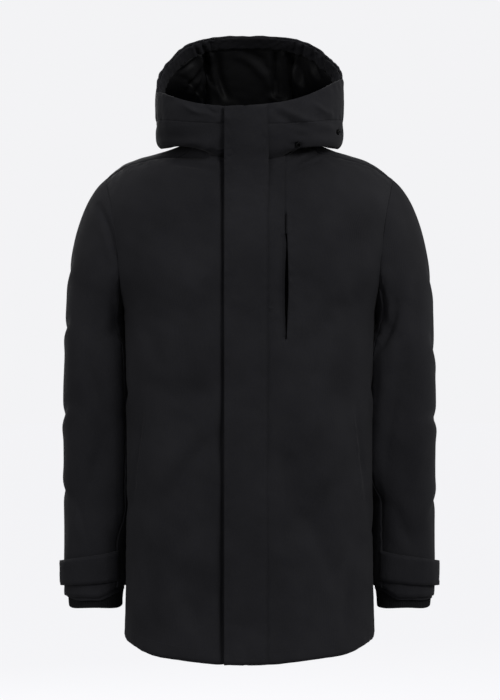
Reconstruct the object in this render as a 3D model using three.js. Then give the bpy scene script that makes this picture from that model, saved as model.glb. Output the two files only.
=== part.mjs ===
// A hip-length hooded parka, closed to the chin and filled out as if worn, with nobody in it.
// Millimetres, +Z up. The front faces -Y and +X is the wearer's left.
// The origin is the middle of the neck opening, level with the root of the hood.
import * as THREE from "three";

const { PI, abs, asin, cos, hypot, max, min, round, sign, sin } = Math;
const DEGREE = PI / 180;

// Cloth and seams
const SHELL = 3; // outer cloth with its wadding
const SEAM_GAP = 0.3;
const LAYER_GAP = 0.5; // between a piece and the one that it lies on
const MITRE_LIMIT = 0.15; // keeps the draw-back at a sharp corner short
const ROUNDNESS = 2.4; // exponent of the body's and the hood's level sections

// Body: the half width is the side seam below the armpit, and the form that the armhole is cut from above it.
const BODY = [
  { z: -800, halfWidth: 201, front: 149, back: 141 },
  { z: -700, halfWidth: 197.5, front: 150, back: 141 },
  { z: -600, halfWidth: 195.5, front: 150, back: 140 },
  { z: -500, halfWidth: 195, front: 149, back: 138 },
  { z: -400, halfWidth: 195.5, front: 150, back: 137 },
  { z: -320, halfWidth: 197, front: 152, back: 138 },
  { z: -254, halfWidth: 201, front: 153, back: 141 },
  { z: -200, halfWidth: 222, front: 151, back: 142 },
  { z: -150, halfWidth: 232, front: 147, back: 140 },
  { z: -100, halfWidth: 236, front: 139, back: 134 },
  { z: -60, halfWidth: 236, front: 130, back: 122 },
  { z: -29, halfWidth: 236, front: 122, back: 108 },
  { z: 20, halfWidth: 236, front: 110, back: 92 },
];
const HEM_Z = -800;
const HEM_SIDE_RISE = 26;
const HEM_CURVE = 2.4; // power of the way across, by which the hem rises
const HEM_RISE_FROM_Z = -560;

// Shoulders: a ridge from the neck point down to the sleeve, arched towards the sleeve and rounded
// over front and back.
const NECK_POINT = { x: 85, z: 18 };
const SHOULDER_POINT = { x: 229, z: -47 };
const SHOULDER_ARCH = { rise: 10, power: 2.2 }; // the power shifts the rise towards the sleeve
const SHOULDER_ROUND = 110; // how far below the ridge the chest and the back reach their full depth
const NECK_DROP_FRONT = 47;
const NECK_DROP_BACK = 12;
const ARMPIT_Z = -254;
const ARMPIT_SPREAD = 1.5; // over how much of the armhole's height, as a cosine, its wall turns
const ARMHOLE = [
  { z: -254, x: 201 },
  { z: -200, x: 203.5 },
  { z: -150, x: 208 },
  { z: -100, x: 215.5 },
  { z: -60, x: 225.5 },
  { z: -48, x: 229 },
];
// Each row crosses a panel from the neckline or the centre to the armhole. The angles run round the
// armhole from its top, and round the neckline from its side.
const YOKE_ROWS = [
  { armhole: 0, neckline: 0 },
  { armhole: 5, neckline: 8 },
  { armhole: 12, neckline: 22 },
  { armhole: 22, neckline: 40 },
  { armhole: 33, neckline: 64 },
  { armhole: 45, neckline: 90 },
];
const SHOULDER_SEAM_ROW = 2; // the back reaches over the ridge to this row of the front
const CHEST_ROWS = [60, 75, 90, 105, 120, 135, 150, 165, 180]; // armhole angles
const SKIRT_ROWS = 11;
const PANEL_COLUMNS = 11;

// Front closing: a zip in the gap between the fronts, under a wide flap.
const ZIP = {
  x: -6, gap: 6, chain: 4.4, chainDepth: 0.8, chainThick: 2, tape: 28, tapeThick: 1.2,
  foot: -790, topRing: 5.2,
};
const PLACKET = { columns: [-42, -26, -10, -2, 14, 30], thick: 3.4 };
const FLAP_MARGIN = 1.2; // how far a strip on the fronts stays from the edges that it crosses or follows
const SEARCH = { high: 100, middle: 0, low: -100 }; // heights between which an edge of the cloth is found
const EDGE_STEP = 0.25;
const INSIDE = 0.01; // just past an edge of the cloth
// How near the cloth's level is looked at for what lies on it, and where the rows of a long strip are close
const COVER = { x: 5, z: 3, steepest: 0.6, fineFrom: -92, fineRows: 22 };

// Pockets
const CHEST_POCKET = { x: 55.5, top: -108, bottom: -308, mouth: 8, ends: 2.4, fade: 90, column: 1 };
const POCKET_BAG = {
  left: 94, right: 34, top: -98, bottom: -320, columns: [0, 0.22, 0.48, 0.78, 1], rows: 6, thick: 1.5, gap: 1,
};
const HAND_POCKET = {
  topX: 160, topZ: -392, bottomX: 181, bottomZ: -572, width: 20, thick: 2, gap: 0.8,
  columns: [0, 0.25, 0.5, 0.75, 1], rows: 8,
};

// Sleeves: level rings below the armpit. They hang a little back, close behind the body's sides.
// Ring angles run from the outer side over the front.
const SLEEVE = [
  { z: -704, x: 248, y: 22, halfWidth: 50, halfDepth: 49 },
  { z: -640, x: 248, y: 22, halfWidth: 50.8, halfDepth: 52 },
  { z: -560, x: 247.5, y: 23, halfWidth: 51.5, halfDepth: 57 },
  { z: -480, x: 247.5, y: 24, halfWidth: 52, halfDepth: 62 },
  { z: -400, x: 248, y: 24, halfWidth: 52.2, halfDepth: 67 },
  { z: -310, x: 247.3, y: 20, halfWidth: 49.2, halfDepth: 73 },
];
const SLEEVE_SQUARENESS = 0.92; // exponent of the ring's sine and cosine, 1 for an ellipse
// How each line over the sleeve head leaves the armhole and comes down into the tube, at the armpit
// and at the top
const SLEEVE_HEAD = {
  armpit: { outward: 0.08, down: 1, leave: 10, arrive: 14 },
  top: { outward: 0.8, down: 0.6, leave: 56, arrive: 130 },
  sideways: 0.1,
};
const SLEEVE_HEAD_STEPS = [0, 0.1, 0.24, 0.4, 0.56, 0.72, 0.87, 1];
const SLEEVE_TUBE_ROWS = 8;
const SLEEVE_FRONT_SEAM = 135;
const SLEEVE_BACK_SEAM = 225;

// Cuffs: a strap sewn in at the front seam and wrapped over the outer side, and an inner ribbed cuff.
const STRAP = {
  base: 138, tip: -48, steps: 14, rows: 2, thick: 3.2,
  baseTop: -639, baseBottom: -687, tipTop: -666, tipBottom: -702,
  standBase: 0.6, standOuter: 4.2, standFrom: 0.7,
};
const RIB_CUFF = {
  x: 248, y: 22, radius: 41.5, top: -688, bottom: -728, thick: 2, ribs: 24, ribHeight: 1.2,
};

// Hood: rings from the neck seam to the rim of the face opening.
const HOOD = [
  { ring: 1, halfWidth: 112, yFront: -122, ySide: 0, yBack: 88, zFront: -20, zSide: 7.5, zBack: 17 },
  { ring: 2, halfWidth: 141, yFront: -127, ySide: -4, yBack: 118, zFront: -9, zSide: 0.5, zBack: 23 },
  { ring: 3, halfWidth: 148, yFront: -131, ySide: -8, yBack: 138, zFront: 8, zSide: 16, zBack: 41 },
  { ring: 4, halfWidth: 149.5, yFront: -134, ySide: -12, yBack: 148, zFront: 26, zSide: 42, zBack: 76 },
  { ring: 5, halfWidth: 150, yFront: -136, ySide: -16, yBack: 144, zFront: 39, zSide: 66, zBack: 130 },
  { ring: 6, halfWidth: 149.5, yFront: -136, ySide: -20, yBack: 112, zFront: 48, zSide: 85, zBack: 174 },
  { ring: 7, halfWidth: 148.5, yFront: -135, ySide: -25, yBack: 60, zFront: 54, zSide: 97, zBack: 194 },
];
const RIM = 7;
const HOOD_TOP = 0.8; // below 1, the top is flatter and its corners fuller
// The top's corners are drawn in a little, around the place where the angle's cosine is this
const HOOD_CORNER = { at: 0.52, width: 0.2, dip: 0.055 };
const RIM_TILT = { height: 10, power: 3 }; // the rim stands higher on the wearer's left, not at the back
const HOOD_SEAM_RISE = 0.7; // the hood's root above the neckline
const COLLAR_ROWS = [0, 0.5, 1, 1.5, 2, 2.5, 3, 3.5, 4];
const HOOD_ROWS = [4, 4.5, 5, 5.5, 6, 6.5, 7];
const COLLAR_SEAM_RING = 4;
const GORE_HALF_ANGLE = 26; // the centre piece's half width, as an angle from the back
const NORMAL_REACH = 0.15; // in rings, to each side of a place whose normal is taken
const DEPTH_STEP = 0.05; // in rings
const FACING = { depth: 24, thick: 2, stand: 8 };
const LINING = {
  stand: 2.4, thick: 6, puff: 8, fullness: 0.7, channels: 2, seam: 9, rows: 12, fromRing: 1, gap: 2.2,
};
const EYELET = { outer: 4.6, hole: 2, thick: 1.4, round: 0.5, stand: 0.9, sides: 20 };
const EYELETS = [
  { name: "hood_eyelet_front", x: 75, z: -5 },
  { name: "hood_eyelet_side", x: 140, z: 21 },
];

const FOLD_ENDS = 0.12; // how far along a half wave a fold starts and stops
// Largest folds of the fronts: soft troughs, or ridges where the depth is negative.
const FRONT_FOLDS = [
  { x0: 58, z0: -455, x1: 128, z1: -690, width: 26, depth: 5 },
  { x0: 20, z0: -480, x1: 95, z1: -740, width: 24, depth: -3 },
  { x0: -54, z0: -600, x1: -50, z1: -800, width: 11, depth: 5 },
  { x0: -150, z0: -420, x1: -120, z1: -640, width: 26, depth: 4 },
  { x0: 60, z0: -52, x1: 128, z1: -20, width: 10, depth: 4 },
  { x0: -62, z0: -42, x1: -120, z1: -20, width: 10, depth: 4 },
];
// Sleeve folds, by ring angle and height. Both sleeves have them.
const SLEEVE_FOLDS = [
  { a0: 62, z0: -92, a1: 100, z1: -190, width: 13, depth: 9 },
  { a0: 150, z0: -262, a1: 95, z1: -330, width: 12, depth: 6 },
  { a0: 130, z0: -350, a1: 60, z1: -430, width: 18, depth: 4 },
  { a0: 120, z0: -470, a1: 40, z1: -560, width: 18, depth: 4 },
  { a0: 10, z0: -600, a1: 60, z1: -640, width: 12, depth: 4 },
  { a0: 215, z0: -420, a1: 290, z1: -500, width: 18, depth: 5 },
];

const vector = (x, y, z) => new THREE.Vector3(x, y, z);
const mix = (a, b, t) => a + (b - a) * t;
const clamp = (t, low, high) => min(max(t, low), high);
const power = (value, exponent) => sign(value) * abs(value) ** exponent;

// A column of a table at a place between its rows, on a smooth curve through them.
function along(table, key, column, at) {
  const last = table.length - 1;
  let i = 0;
  while (i < last - 1 && at > table[i + 1][key]) i++;
  const slope = (j) => {
    const low = table[max(j - 1, 0)];
    const high = table[min(j + 1, last)];
    return (high[column] - low[column]) / (high[key] - low[key]);
  };
  const width = table[i + 1][key] - table[i][key];
  const t = clamp((at - table[i][key]) / width, 0, 1);
  const u = 1 - t;
  return (
    (1 + 2 * t) * u * u * table[i][column] +
    t * u * u * width * slope(i) +
    t * t * (3 - 2 * t) * table[i + 1][column] -
    t * t * u * width * slope(i + 1)
  );
}

// How deep the folds lie at a place, each a straight trough that fades at its ends.
function foldDepth(folds, a, b, names) {
  const [a0, b0, a1, b1] = names;
  let depth = 0;
  for (const fold of folds) {
    const [da, db] = [fold[a1] - fold[a0], fold[b1] - fold[b0]];
    const s = clamp(((a - fold[a0]) * da + (b - fold[b0]) * db) / (da * da + db * db), 0, 1);
    const away = hypot(a - mix(fold[a0], fold[a1], s), b - mix(fold[b0], fold[b1], s));
    depth += fold.depth * Math.exp(-((away / fold.width) ** 2)) * sin(PI * mix(FOLD_ENDS, 1 - FOLD_ENDS, s));
  }
  return depth;
}

// Cloth made of cells of four points, counter-clockwise seen from the side that shows. Pieces that
// share an edge share its points, so their walls meet on one line and each is drawn back from it.
class Skin {
  constructor() {
    this.points = [];
    this.backs = [];
    this.keys = new Map();
    this.cells = [];
  }

  point(p, back = null) {
    const key = [p.x, p.y, p.z].map((v) => round(v * 100)).join();
    if (!this.keys.has(key)) {
      this.keys.set(key, this.points.length);
      this.points.push(p.clone());
      this.backs.push(null);
    }
    const index = this.keys.get(key);
    if (back) this.backs[index] = back.clone();
    return index;
  }

  add(piece, corners, backs = []) {
    const indices = corners.map((p, i) => this.point(p, backs[i]));
    const different = indices.filter((v, i) => v !== indices[(i + indices.length - 1) % indices.length]);
    if (different.length > 2) this.cells.push({ piece, corners: different });
  }

  // Adds a rectangle of rows of points. The rows run so that the shown side has row, column as right, up.
  addGrid(rows, pieceOf, backRows = null) {
    for (let r = 0; r + 1 < rows.length; r++) {
      for (let c = 0; c + 1 < rows[r].length; c++) {
        const piece = pieceOf(r, c);
        const pick = (from) => from && [from[r][c], from[r][c + 1], from[r + 1][c + 1], from[r + 1][c]];
        if (piece) this.add(piece, pick(rows), pick(backRows) || []);
      }
    }
  }

  // Twice the area of a cell, as a vector along its normal.
  faceOf(corners) {
    const [a, b, c, d] = corners.map((i) => this.points[i]);
    if (!d) return b.clone().sub(a).cross(c.clone().sub(a));
    return c.clone().sub(a).cross(d.clone().sub(b));
  }

  normals() {
    const sums = this.points.map(() => vector(0, 0, 0));
    for (const { corners } of this.cells) {
      const face = this.faceOf(corners);
      for (const i of corners) sums[i].add(face);
    }
    return sums.map((s) => s.normalize());
  }

  // The frontmost place of the cloth at a point of the front view, and the way that it faces there.
  frontAt(x, z) {
    let found = null;
    for (const { corners } of this.cells) {
      const at = corners.map((i) => this.points[i]);
      for (let k = 1; k + 1 < at.length; k++) {
        const [a, b, c] = [at[0], at[k], at[k + 1]];
        const area = (b.x - a.x) * (c.z - a.z) - (c.x - a.x) * (b.z - a.z);
        if (area < 1e-9) continue;
        const u = ((x - a.x) * (c.z - a.z) - (c.x - a.x) * (z - a.z)) / area;
        const v = ((b.x - a.x) * (z - a.z) - (x - a.x) * (b.z - a.z)) / area;
        if (u < 0 || v < 0 || u + v > 1) continue;
        const p = vector(x, a.y + u * (b.y - a.y) + v * (c.y - a.y), z);
        if (found && found.point.y <= p.y) continue;
        const normal = b.clone().sub(a).cross(c.clone().sub(a)).normalize();
        found = { point: p, normal };
      }
    }
    return found;
  }

  // The wall of one piece as a closed mesh.
  wall(piece, thickness) {
    const normals = this.normals();
    const cells = this.cells.filter((cell) => cell.piece === piece);
    const edges = new Map();
    for (const { corners } of cells) {
      const face = this.faceOf(corners);
      corners.forEach((from, k) => {
        const to = corners[(k + 1) % corners.length];
        edges.set(`${from},${to}`, { from, to, face });
      });
    }
    const boundary = [...edges.values()].filter(({ from, to }) => !edges.has(`${to},${from}`));
    const drawBack = new Map();
    for (const { from, to, face } of boundary) {
      const inward = face.clone().cross(this.points[to].clone().sub(this.points[from])).normalize();
      for (const i of [from, to]) drawBack.set(i, [...(drawBack.get(i) || []), inward]);
    }
    const numbers = new Map();
    const front = [];
    const back = [];
    const place = (i) => {
      if (numbers.has(i)) return numbers.get(i);
      const p = this.points[i].clone();
      const shift = vector(0, 0, 0);
      const ways = drawBack.get(i);
      if (ways) {
        const [first, second = first] = ways;
        const spread = max(1 + first.dot(second), MITRE_LIMIT);
        shift.copy(first).add(second).multiplyScalar(SEAM_GAP / 2 / spread);
      }
      p.add(shift);
      front.push(p);
      const behind = this.backs[i]
        ? this.backs[i].clone().add(shift)
        : p.clone().addScaledVector(normals[i], -thickness);
      back.push(behind);
      numbers.set(i, numbers.size);
      return numbers.get(i);
    };
    const faces = [];
    for (const { corners } of cells) {
      const at = corners.map(place);
      for (let k = 1; k + 1 < at.length; k++) {
        faces.push([at[0], at[k], at[k + 1]]);
        faces.push([~at[0], ~at[k + 1], ~at[k]]);
      }
    }
    for (const { from, to } of boundary) {
      const [a, b] = [place(from), place(to)];
      // Both walls at a seam are cut on the same diagonal.
      if (from < to) faces.push([b, a, ~b], [a, ~a, ~b]);
      else faces.push([b, a, ~a], [b, ~a, ~b]);
    }
    // A negative number, from ~, stands for the point behind.
    const positions = faces.flat().flatMap((i) => (i < 0 ? back[~i] : front[i]).toArray());
    const geometry = new THREE.BufferGeometry();
    geometry.setAttribute("position", new THREE.Float32BufferAttribute(positions, 3));
    return geometry;
  }
}

// Body form

function ridgeZ(x) {
  const t = (abs(x) - NECK_POINT.x) / (SHOULDER_POINT.x - NECK_POINT.x);
  const arch = SHOULDER_ARCH.rise * sin(PI * clamp(t, 0, 1) ** SHOULDER_ARCH.power);
  return mix(NECK_POINT.z, SHOULDER_POINT.z, t) + arch;
}

// How far in front of the shoulder ridge the cloth lies, or behind it where the way is 1.
function bodyDepth(x, z, way) {
  const across = abs(x) / along(BODY, "z", "halfWidth", z);
  const level = (1 - min(across, 1) ** ROUNDNESS) ** (1 / ROUNDNESS);
  const drop = clamp((ridgeZ(x) - z) / SHOULDER_ROUND, 0, 1);
  const full = along(BODY, "z", way < 0 ? "front" : "back", z);
  return full * level * (1 - (1 - drop) ** 2) ** 0.5;
}

function bodyPoint(x, z, way) {
  const depth = bodyDepth(x, z, way);
  const away = depth / along(BODY, "z", "front", z);
  const fold = way < 0 ? foldDepth(FRONT_FOLDS, x, z, ["x0", "z0", "x1", "z1"]) * away : 0;
  return vector(x, way * (depth - fold), z);
}

// How far round a level section a place lies, as an angle from the middle.
const turn = (x, z) =>
  asin(min(abs(x) / along(BODY, "z", "halfWidth", z), 1) ** (ROUNDNESS / 2)) * (x < 0 ? -1 : 1);

// A row below the armpit. Towards the hem the rows bend up at the sides.
function skirtRow(inner, columns, way, side, pull) {
  const low = clamp((HEM_RISE_FROM_Z - inner.z) / (HEM_RISE_FROM_Z - HEM_Z), 0, 1);
  const from = turn(inner.x, inner.z);
  return columns.map((t) => {
    const across = power(sin(mix(from, PI / 2, t)), 2 / ROUNDNESS);
    const z = inner.z + low * HEM_SIDE_RISE * abs(across) ** HEM_CURVE;
    const x = t === 0 ? inner.x : across * along(BODY, "z", "halfWidth", z);
    const p = bodyPoint(pull(x, z, t), z, way);
    return vector(side * p.x, p.y, p.z);
  });
}

// A row above the armpit, from the neckline or the centre to the armhole.
function chestRow(inner, outer, columns, way, side, pull) {
  const from = turn(inner.x, inner.z);
  const to = turn(outer.x, outer.z);
  return columns.map((t) => {
    const zNear = mix(inner.z, outer.z, t);
    let x = along(BODY, "z", "halfWidth", zNear) * power(sin(mix(from, to, t)), 2 / ROUNDNESS);
    if (t === 0) x = inner.x;
    if (t === 1) x = outer.x;
    x = pull(x, zNear, t);
    const drop = mix(ridgeZ(inner.x) - inner.z, ridgeZ(outer.x) - outer.z, t);
    const p = bodyPoint(x, ridgeZ(x) - drop, way);
    return vector(side * p.x, p.y, p.z);
  });
}

const armholeMiddle = (SHOULDER_POINT.z + ARMPIT_Z) / 2;
const armholeHalf = (SHOULDER_POINT.z - ARMPIT_Z) / 2;

function armholeEnd(degrees) {
  const z = armholeMiddle + armholeHalf * cos(degrees * DEGREE);
  return { x: along(ARMHOLE, "z", "x", z), z };
}

function necklineEnd(degrees, drop) {
  return {
    x: NECK_POINT.x * cos(degrees * DEGREE),
    z: NECK_POINT.z - drop * sin(degrees * DEGREE),
  };
}

// The inner and outer ends of a panel's rows, from the shoulder down to the hem.
function panelEnds(centreX, neckDrop) {
  const ends = YOKE_ROWS.map(({ armhole, neckline }) => {
    const inner = necklineEnd(neckline, neckDrop);
    if (neckline === 90) inner.x = centreX;
    return { inner, outer: armholeEnd(armhole) };
  });
  const neckZ = NECK_POINT.z - neckDrop;
  for (const degrees of CHEST_ROWS) {
    const first = YOKE_ROWS[YOKE_ROWS.length - 1].armhole;
    const t = (1 - cos(((degrees - first) / (180 - first)) * PI)) / 2;
    ends.push({ inner: { x: centreX, z: mix(neckZ, ARMPIT_Z, t) }, outer: armholeEnd(degrees) });
  }
  for (let i = 1; i <= SKIRT_ROWS; i++) {
    ends.push({ inner: { x: centreX, z: mix(ARMPIT_Z, HEM_Z, i / SKIRT_ROWS) } });
  }
  return ends;
}

const evenly = (count) => Array.from({ length: count + 1 }, (_, i) => i / count);
const PANEL = evenly(PANEL_COLUMNS);

function panelRows(way, side, pull = (x) => x) {
  const centreX = way < 0 ? side * ZIP.x + ZIP.gap / 2 : 0;
  const ends = panelEnds(centreX, way < 0 ? NECK_DROP_FRONT : NECK_DROP_BACK);
  return ends.map(({ inner, outer }) =>
    outer ? chestRow(inner, outer, PANEL, way, side, pull) : skirtRow(inner, PANEL, way, side, pull));
}

// The chest pocket's mouth lies between two columns, which are drawn to its edges.
function pocketPull(x, z, t) {
  const { x: middle, top, bottom, mouth, ends, fade, column } = CHEST_POCKET;
  const edge = PANEL.indexOf(t) - column;
  if (edge !== 0 && edge !== 1) return x;
  const beyond = max(z - top, bottom - z, 0);
  const near = clamp(1 - beyond / fade, 0, 1);
  const open = sin(PI * clamp((z - bottom) / (top - bottom), 0, 1));
  const width = mix(ends, mouth, open);
  return mix(x, middle + (edge - 0.5) * width, near * near * (3 - 2 * near));
}

// The rows run down, so the columns run to the left as each panel is seen from outside.
function addPanels(skin) {
  const turned = (rows) => rows.map((row) => [...row].reverse());
  const left = turned(panelRows(-1, 1, pocketPull));
  const mouthColumn = PANEL_COLUMNS - 1 - CHEST_POCKET.column;
  const inMouth = (r, c) =>
    c === mouthColumn && left[r][c].z < CHEST_POCKET.top && left[r + 1][c].z > CHEST_POCKET.bottom;
  skin.addGrid(left, (r, c) => {
    if (r < SHOULDER_SEAM_ROW) return "back";
    return inMouth(r, c) ? null : "front_left";
  });
  skin.addGrid(panelRows(-1, -1), (r) => (r < SHOULDER_SEAM_ROW ? "back" : "front_right"));
  skin.addGrid(panelRows(1, 1), () => "back");
  skin.addGrid(turned(panelRows(1, -1)), () => "back");
}

// Sleeves

const ringAngles = [...YOKE_ROWS.map((row) => row.armhole), ...CHEST_ROWS];
// All the way round: front angles up to 180, then the back ones as angles past it.
const sleeveAngles = [...ringAngles, ...[...ringAngles].reverse().slice(1).map((a) => 360 - a)];

function armholePoint(degrees) {
  const way = degrees > 180 ? 1 : -1;
  const { x, z } = armholeEnd(degrees > 180 ? 360 - degrees : degrees);
  return bodyPoint(x, z, way);
}

function tubePoint(degrees, z) {
  const a = degrees * DEGREE;
  const ring = (column) => along(SLEEVE, "z", column, z);
  return vector(
    ring("x") + ring("halfWidth") * power(cos(a), SLEEVE_SQUARENESS),
    ring("y") - ring("halfDepth") * power(sin(a), SLEEVE_SQUARENESS),
    z,
  );
}

const SLEEVE_TOP = SLEEVE[SLEEVE.length - 1].z;

function sleeveFold(degrees, z) {
  const names = ["a0", "z0", "a1", "z1"];
  return [-360, 0, 360].reduce((sum, round) => sum + foldDepth(SLEEVE_FOLDS, degrees + round, z, names), 0);
}

// Presses a point of the sleeve towards its middle.
function foldIn(p, depth) {
  const z = min(p.z, SLEEVE_TOP);
  const middle = vector(along(SLEEVE, "z", "x", z), along(SLEEVE, "z", "y", z), p.z);
  return p.addScaledVector(middle.sub(p).normalize(), depth);
}

// Over the sleeve head each line leaves the armhole outwards and turns down into the tube.
function headPoint(degrees, step) {
  const high = (1 + cos(degrees * DEGREE)) / 2;
  const start = armholePoint(degrees);
  const end = tubePoint(degrees, SLEEVE_TOP);
  const head = (key) => mix(SLEEVE_HEAD.armpit[key], SLEEVE_HEAD.top[key], high);
  const lean = vector(head("outward"), SLEEVE_HEAD.sideways * sign(start.y) * sin(PI * high), -head("down"));
  const second = start.clone().addScaledVector(lean.normalize(), head("leave"));
  const third = end.clone().add(vector(0, 0, head("arrive")));
  const p = new THREE.CubicBezierCurve3(start, second, third, end).getPoint(step);
  return foldIn(p, sleeveFold(degrees, p.z) * min(2 * step, 1));
}

const sleevePoint = (degrees, z) => foldIn(tubePoint(degrees, z), sleeveFold(degrees, z));

function sleeveRows() {
  const rows = SLEEVE_HEAD_STEPS.map((step) => sleeveAngles.map((a) => headPoint(a, step)));
  for (let i = 1; i <= SLEEVE_TUBE_ROWS; i++) {
    const z = mix(SLEEVE_TOP, SLEEVE[0].z, i / SLEEVE_TUBE_ROWS);
    rows.push(sleeveAngles.map((a) => sleevePoint(a, z)));
  }
  return rows;
}

// The rows run down and the columns from the outer side over the front, so the wearer's right is turned.
function addSleeve(skin, side) {
  const name = side > 0 ? "left" : "right";
  const piece = (c) => {
    const middle = (sleeveAngles[c] + sleeveAngles[c + 1]) / 2;
    const under = middle > SLEEVE_FRONT_SEAM && middle < SLEEVE_BACK_SEAM;
    return under ? `sleeve_under_${name}` : `sleeve_top_${name}`;
  };
  const last = sleeveAngles.length - 2;
  const rows = sleeveRows().map((row) => row.map((p) => vector(side * p.x, p.y, p.z)));
  if (side > 0) skin.addGrid(rows, (r, c) => piece(c));
  else skin.addGrid(rows.map((row) => [...row].reverse()), (r, c) => piece(last - c));
}

// Down the armhole, where body and sleeve part more and more, the wall's inner side turns from straight
// behind the cloth to square to the armhole's line.
function setArmpits(skin) {
  const normals = skin.normals();
  for (const degrees of sleeveAngles) {
    const turned = clamp(0.5 - cos(degrees * DEGREE) / ARMPIT_SPREAD, 0, 1);
    if (turned === 0) continue;
    const line = armholePoint(degrees + 1).sub(armholePoint(degrees - 1));
    const inward = vector(0, -line.z, line.y).normalize();
    for (const side of [1, -1]) {
      const at = armholePoint(degrees);
      const p = vector(side * at.x, at.y, at.z);
      const behind = normals[skin.point(p)].clone().negate().lerp(inward, turned).normalize();
      skin.point(p, p.clone().addScaledVector(behind, SHELL));
    }
  }
}

function buildCloth() {
  const skin = new Skin();
  addPanels(skin);
  addSleeve(skin, 1);
  addSleeve(skin, -1);
  setArmpits(skin);
  return skin;
}

// Hood

// The hood's columns: the neckline's points and the middles between them, from the zip's left edge
// round the back to its right edge. Each has an angle, 0 in front and 180 behind.
function hoodColumns() {
  const seam = (neckline, drop, way) => ({
    angle: 90 + way * neckline, end: necklineEnd(neckline, drop), way,
  });
  const half = [
    ...[...YOKE_ROWS].reverse().map((row) => seam(row.neckline, NECK_DROP_FRONT, -1)),
    ...YOKE_ROWS.slice(1).map((row) => seam(row.neckline, NECK_DROP_BACK, 1)),
  ];
  const around = [
    ...half.map((c) => ({ ...c, x: c.end.x })),
    ...[...half].reverse().slice(1).map((c) => ({ ...c, x: -c.end.x, angle: 360 - c.angle })),
  ];
  around[0].edge = ZIP.x + ZIP.gap / 2;
  around[around.length - 1].edge = ZIP.x - ZIP.gap / 2;
  const raised = vector(0, 0, HOOD_SEAM_RISE);
  const columns = around.map(({ angle, edge, x, end, way }) => ({
    angle, edge, neck: bodyPoint(edge ?? x, end.z, way).add(raised),
  }));
  return columns.flatMap((c, i) => {
    const next = columns[i + 1];
    if (!next) return [c];
    return [c, { angle: (c.angle + next.angle) / 2, neck: c.neck.clone().lerp(next.neck, 0.5) }];
  });
}

// A point of one of the hood's rings, by its angle from the front.
function ringPoint(row, degrees, edge) {
  const a = degrees * DEGREE;
  const c = cos(a);
  const [yEnd, zEnd] = c > 0 ? [row.yFront, row.zFront] : [row.yBack, row.zBack];
  const high = max(row.ring - COLLAR_SEAM_RING, 0) / (RIM - COLLAR_SEAM_RING);
  const tilt = RIM_TILT.height * sin(a) * high * min(1 + c, 1) ** RIM_TILT.power;
  const corner = HOOD_CORNER.dip * high ** 0.5 * Math.exp(-(((c + HOOD_CORNER.at) / HOOD_CORNER.width) ** 2));
  return vector(
    edge ?? row.halfWidth * (1 - corner) * power(sin(a), 2 / ROUNDNESS),
    mix(row.ySide, yEnd, abs(c) ** (2 / ROUNDNESS)),
    mix(row.zSide, zEnd, c > 0 ? c * c : abs(c) ** HOOD_TOP) + tilt,
  );
}

function hoodPoint(column, ring) {
  const points = [column.neck, ...HOOD.map((row) => ringPoint(row, column.angle, column.edge))];
  const i = min(Math.floor(ring), RIM - 1);
  const t = ring - i;
  const at = (k) => points[clamp(k, 0, RIM)];
  const blend = (get) => {
    const [p0, p1, p2, p3] = [at(i - 1), at(i), at(i + 1), at(i + 2)].map(get);
    const [m1, m2] = [(p2 - p0) / 2, (p3 - p1) / 2];
    const u = 1 - t;
    return (1 + 2 * t) * u * u * p1 + t * u * u * m1 + t * t * (3 - 2 * t) * p2 - t * t * u * m2;
  };
  return vector(blend((p) => p.x), blend((p) => p.y), blend((p) => p.z));
}

// The hood's outward normal, from points a little to each side.
function hoodNormal(columns, c, ring) {
  const [before, after] = [columns[max(c - 1, 0)], columns[min(c + 1, columns.length - 1)]];
  const across = hoodPoint(after, ring).sub(hoodPoint(before, ring));
  const [low, high] = [max(ring - NORMAL_REACH, 0), min(ring + NORMAL_REACH, RIM)];
  const up = hoodPoint(columns[c], high).sub(hoodPoint(columns[c], low));
  return across.cross(up).normalize();
}

const inGore = (columns, c) => abs((columns[c].angle + columns[c + 1].angle) / 2 - 180) < GORE_HALF_ANGLE;

const hoodPiece = (columns, prefix) => (r, c) => {
  if (inGore(columns, c)) return `${prefix}_centre`;
  return `${prefix}_${columns[c].angle < 180 ? "left" : "right"}`;
};

function buildHood(columns) {
  const skin = new Skin();
  const grid = (rings) => rings.map((ring) => columns.map((column) => hoodPoint(column, ring)));
  skin.addGrid(grid(COLLAR_ROWS), () => "collar");
  skin.addGrid(grid(HOOD_ROWS), hoodPiece(columns, "hood"));
  return skin;
}

// How far down from the rim a depth inside the hood reaches, in rings.
function ringAtDepth(column, depth) {
  let ring = RIM;
  let gone = 0;
  while (gone < depth && ring > DEPTH_STEP) {
    gone += hoodPoint(column, ring).distanceTo(hoodPoint(column, ring - DEPTH_STEP));
    ring -= DEPTH_STEP;
  }
  return ring;
}

const insidePoint = (columns, c, ring, stand) =>
  hoodPoint(columns[c], ring).addScaledVector(hoodNormal(columns, c, ring), -stand);

// A strip of the outer cloth, turned in at the rim.
function buildFacing(columns) {
  const skin = new Skin();
  const rows = [0, 0.5, 1].map((t) => columns.map((column, c) => {
    const ring = mix(RIM, ringAtDepth(column, FACING.depth), t);
    return insidePoint(columns, c, ring, SHELL + LAYER_GAP + FACING.thick + FACING.stand * t);
  }));
  skin.addGrid(rows, () => "hood_facing");
  return skin;
}

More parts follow.
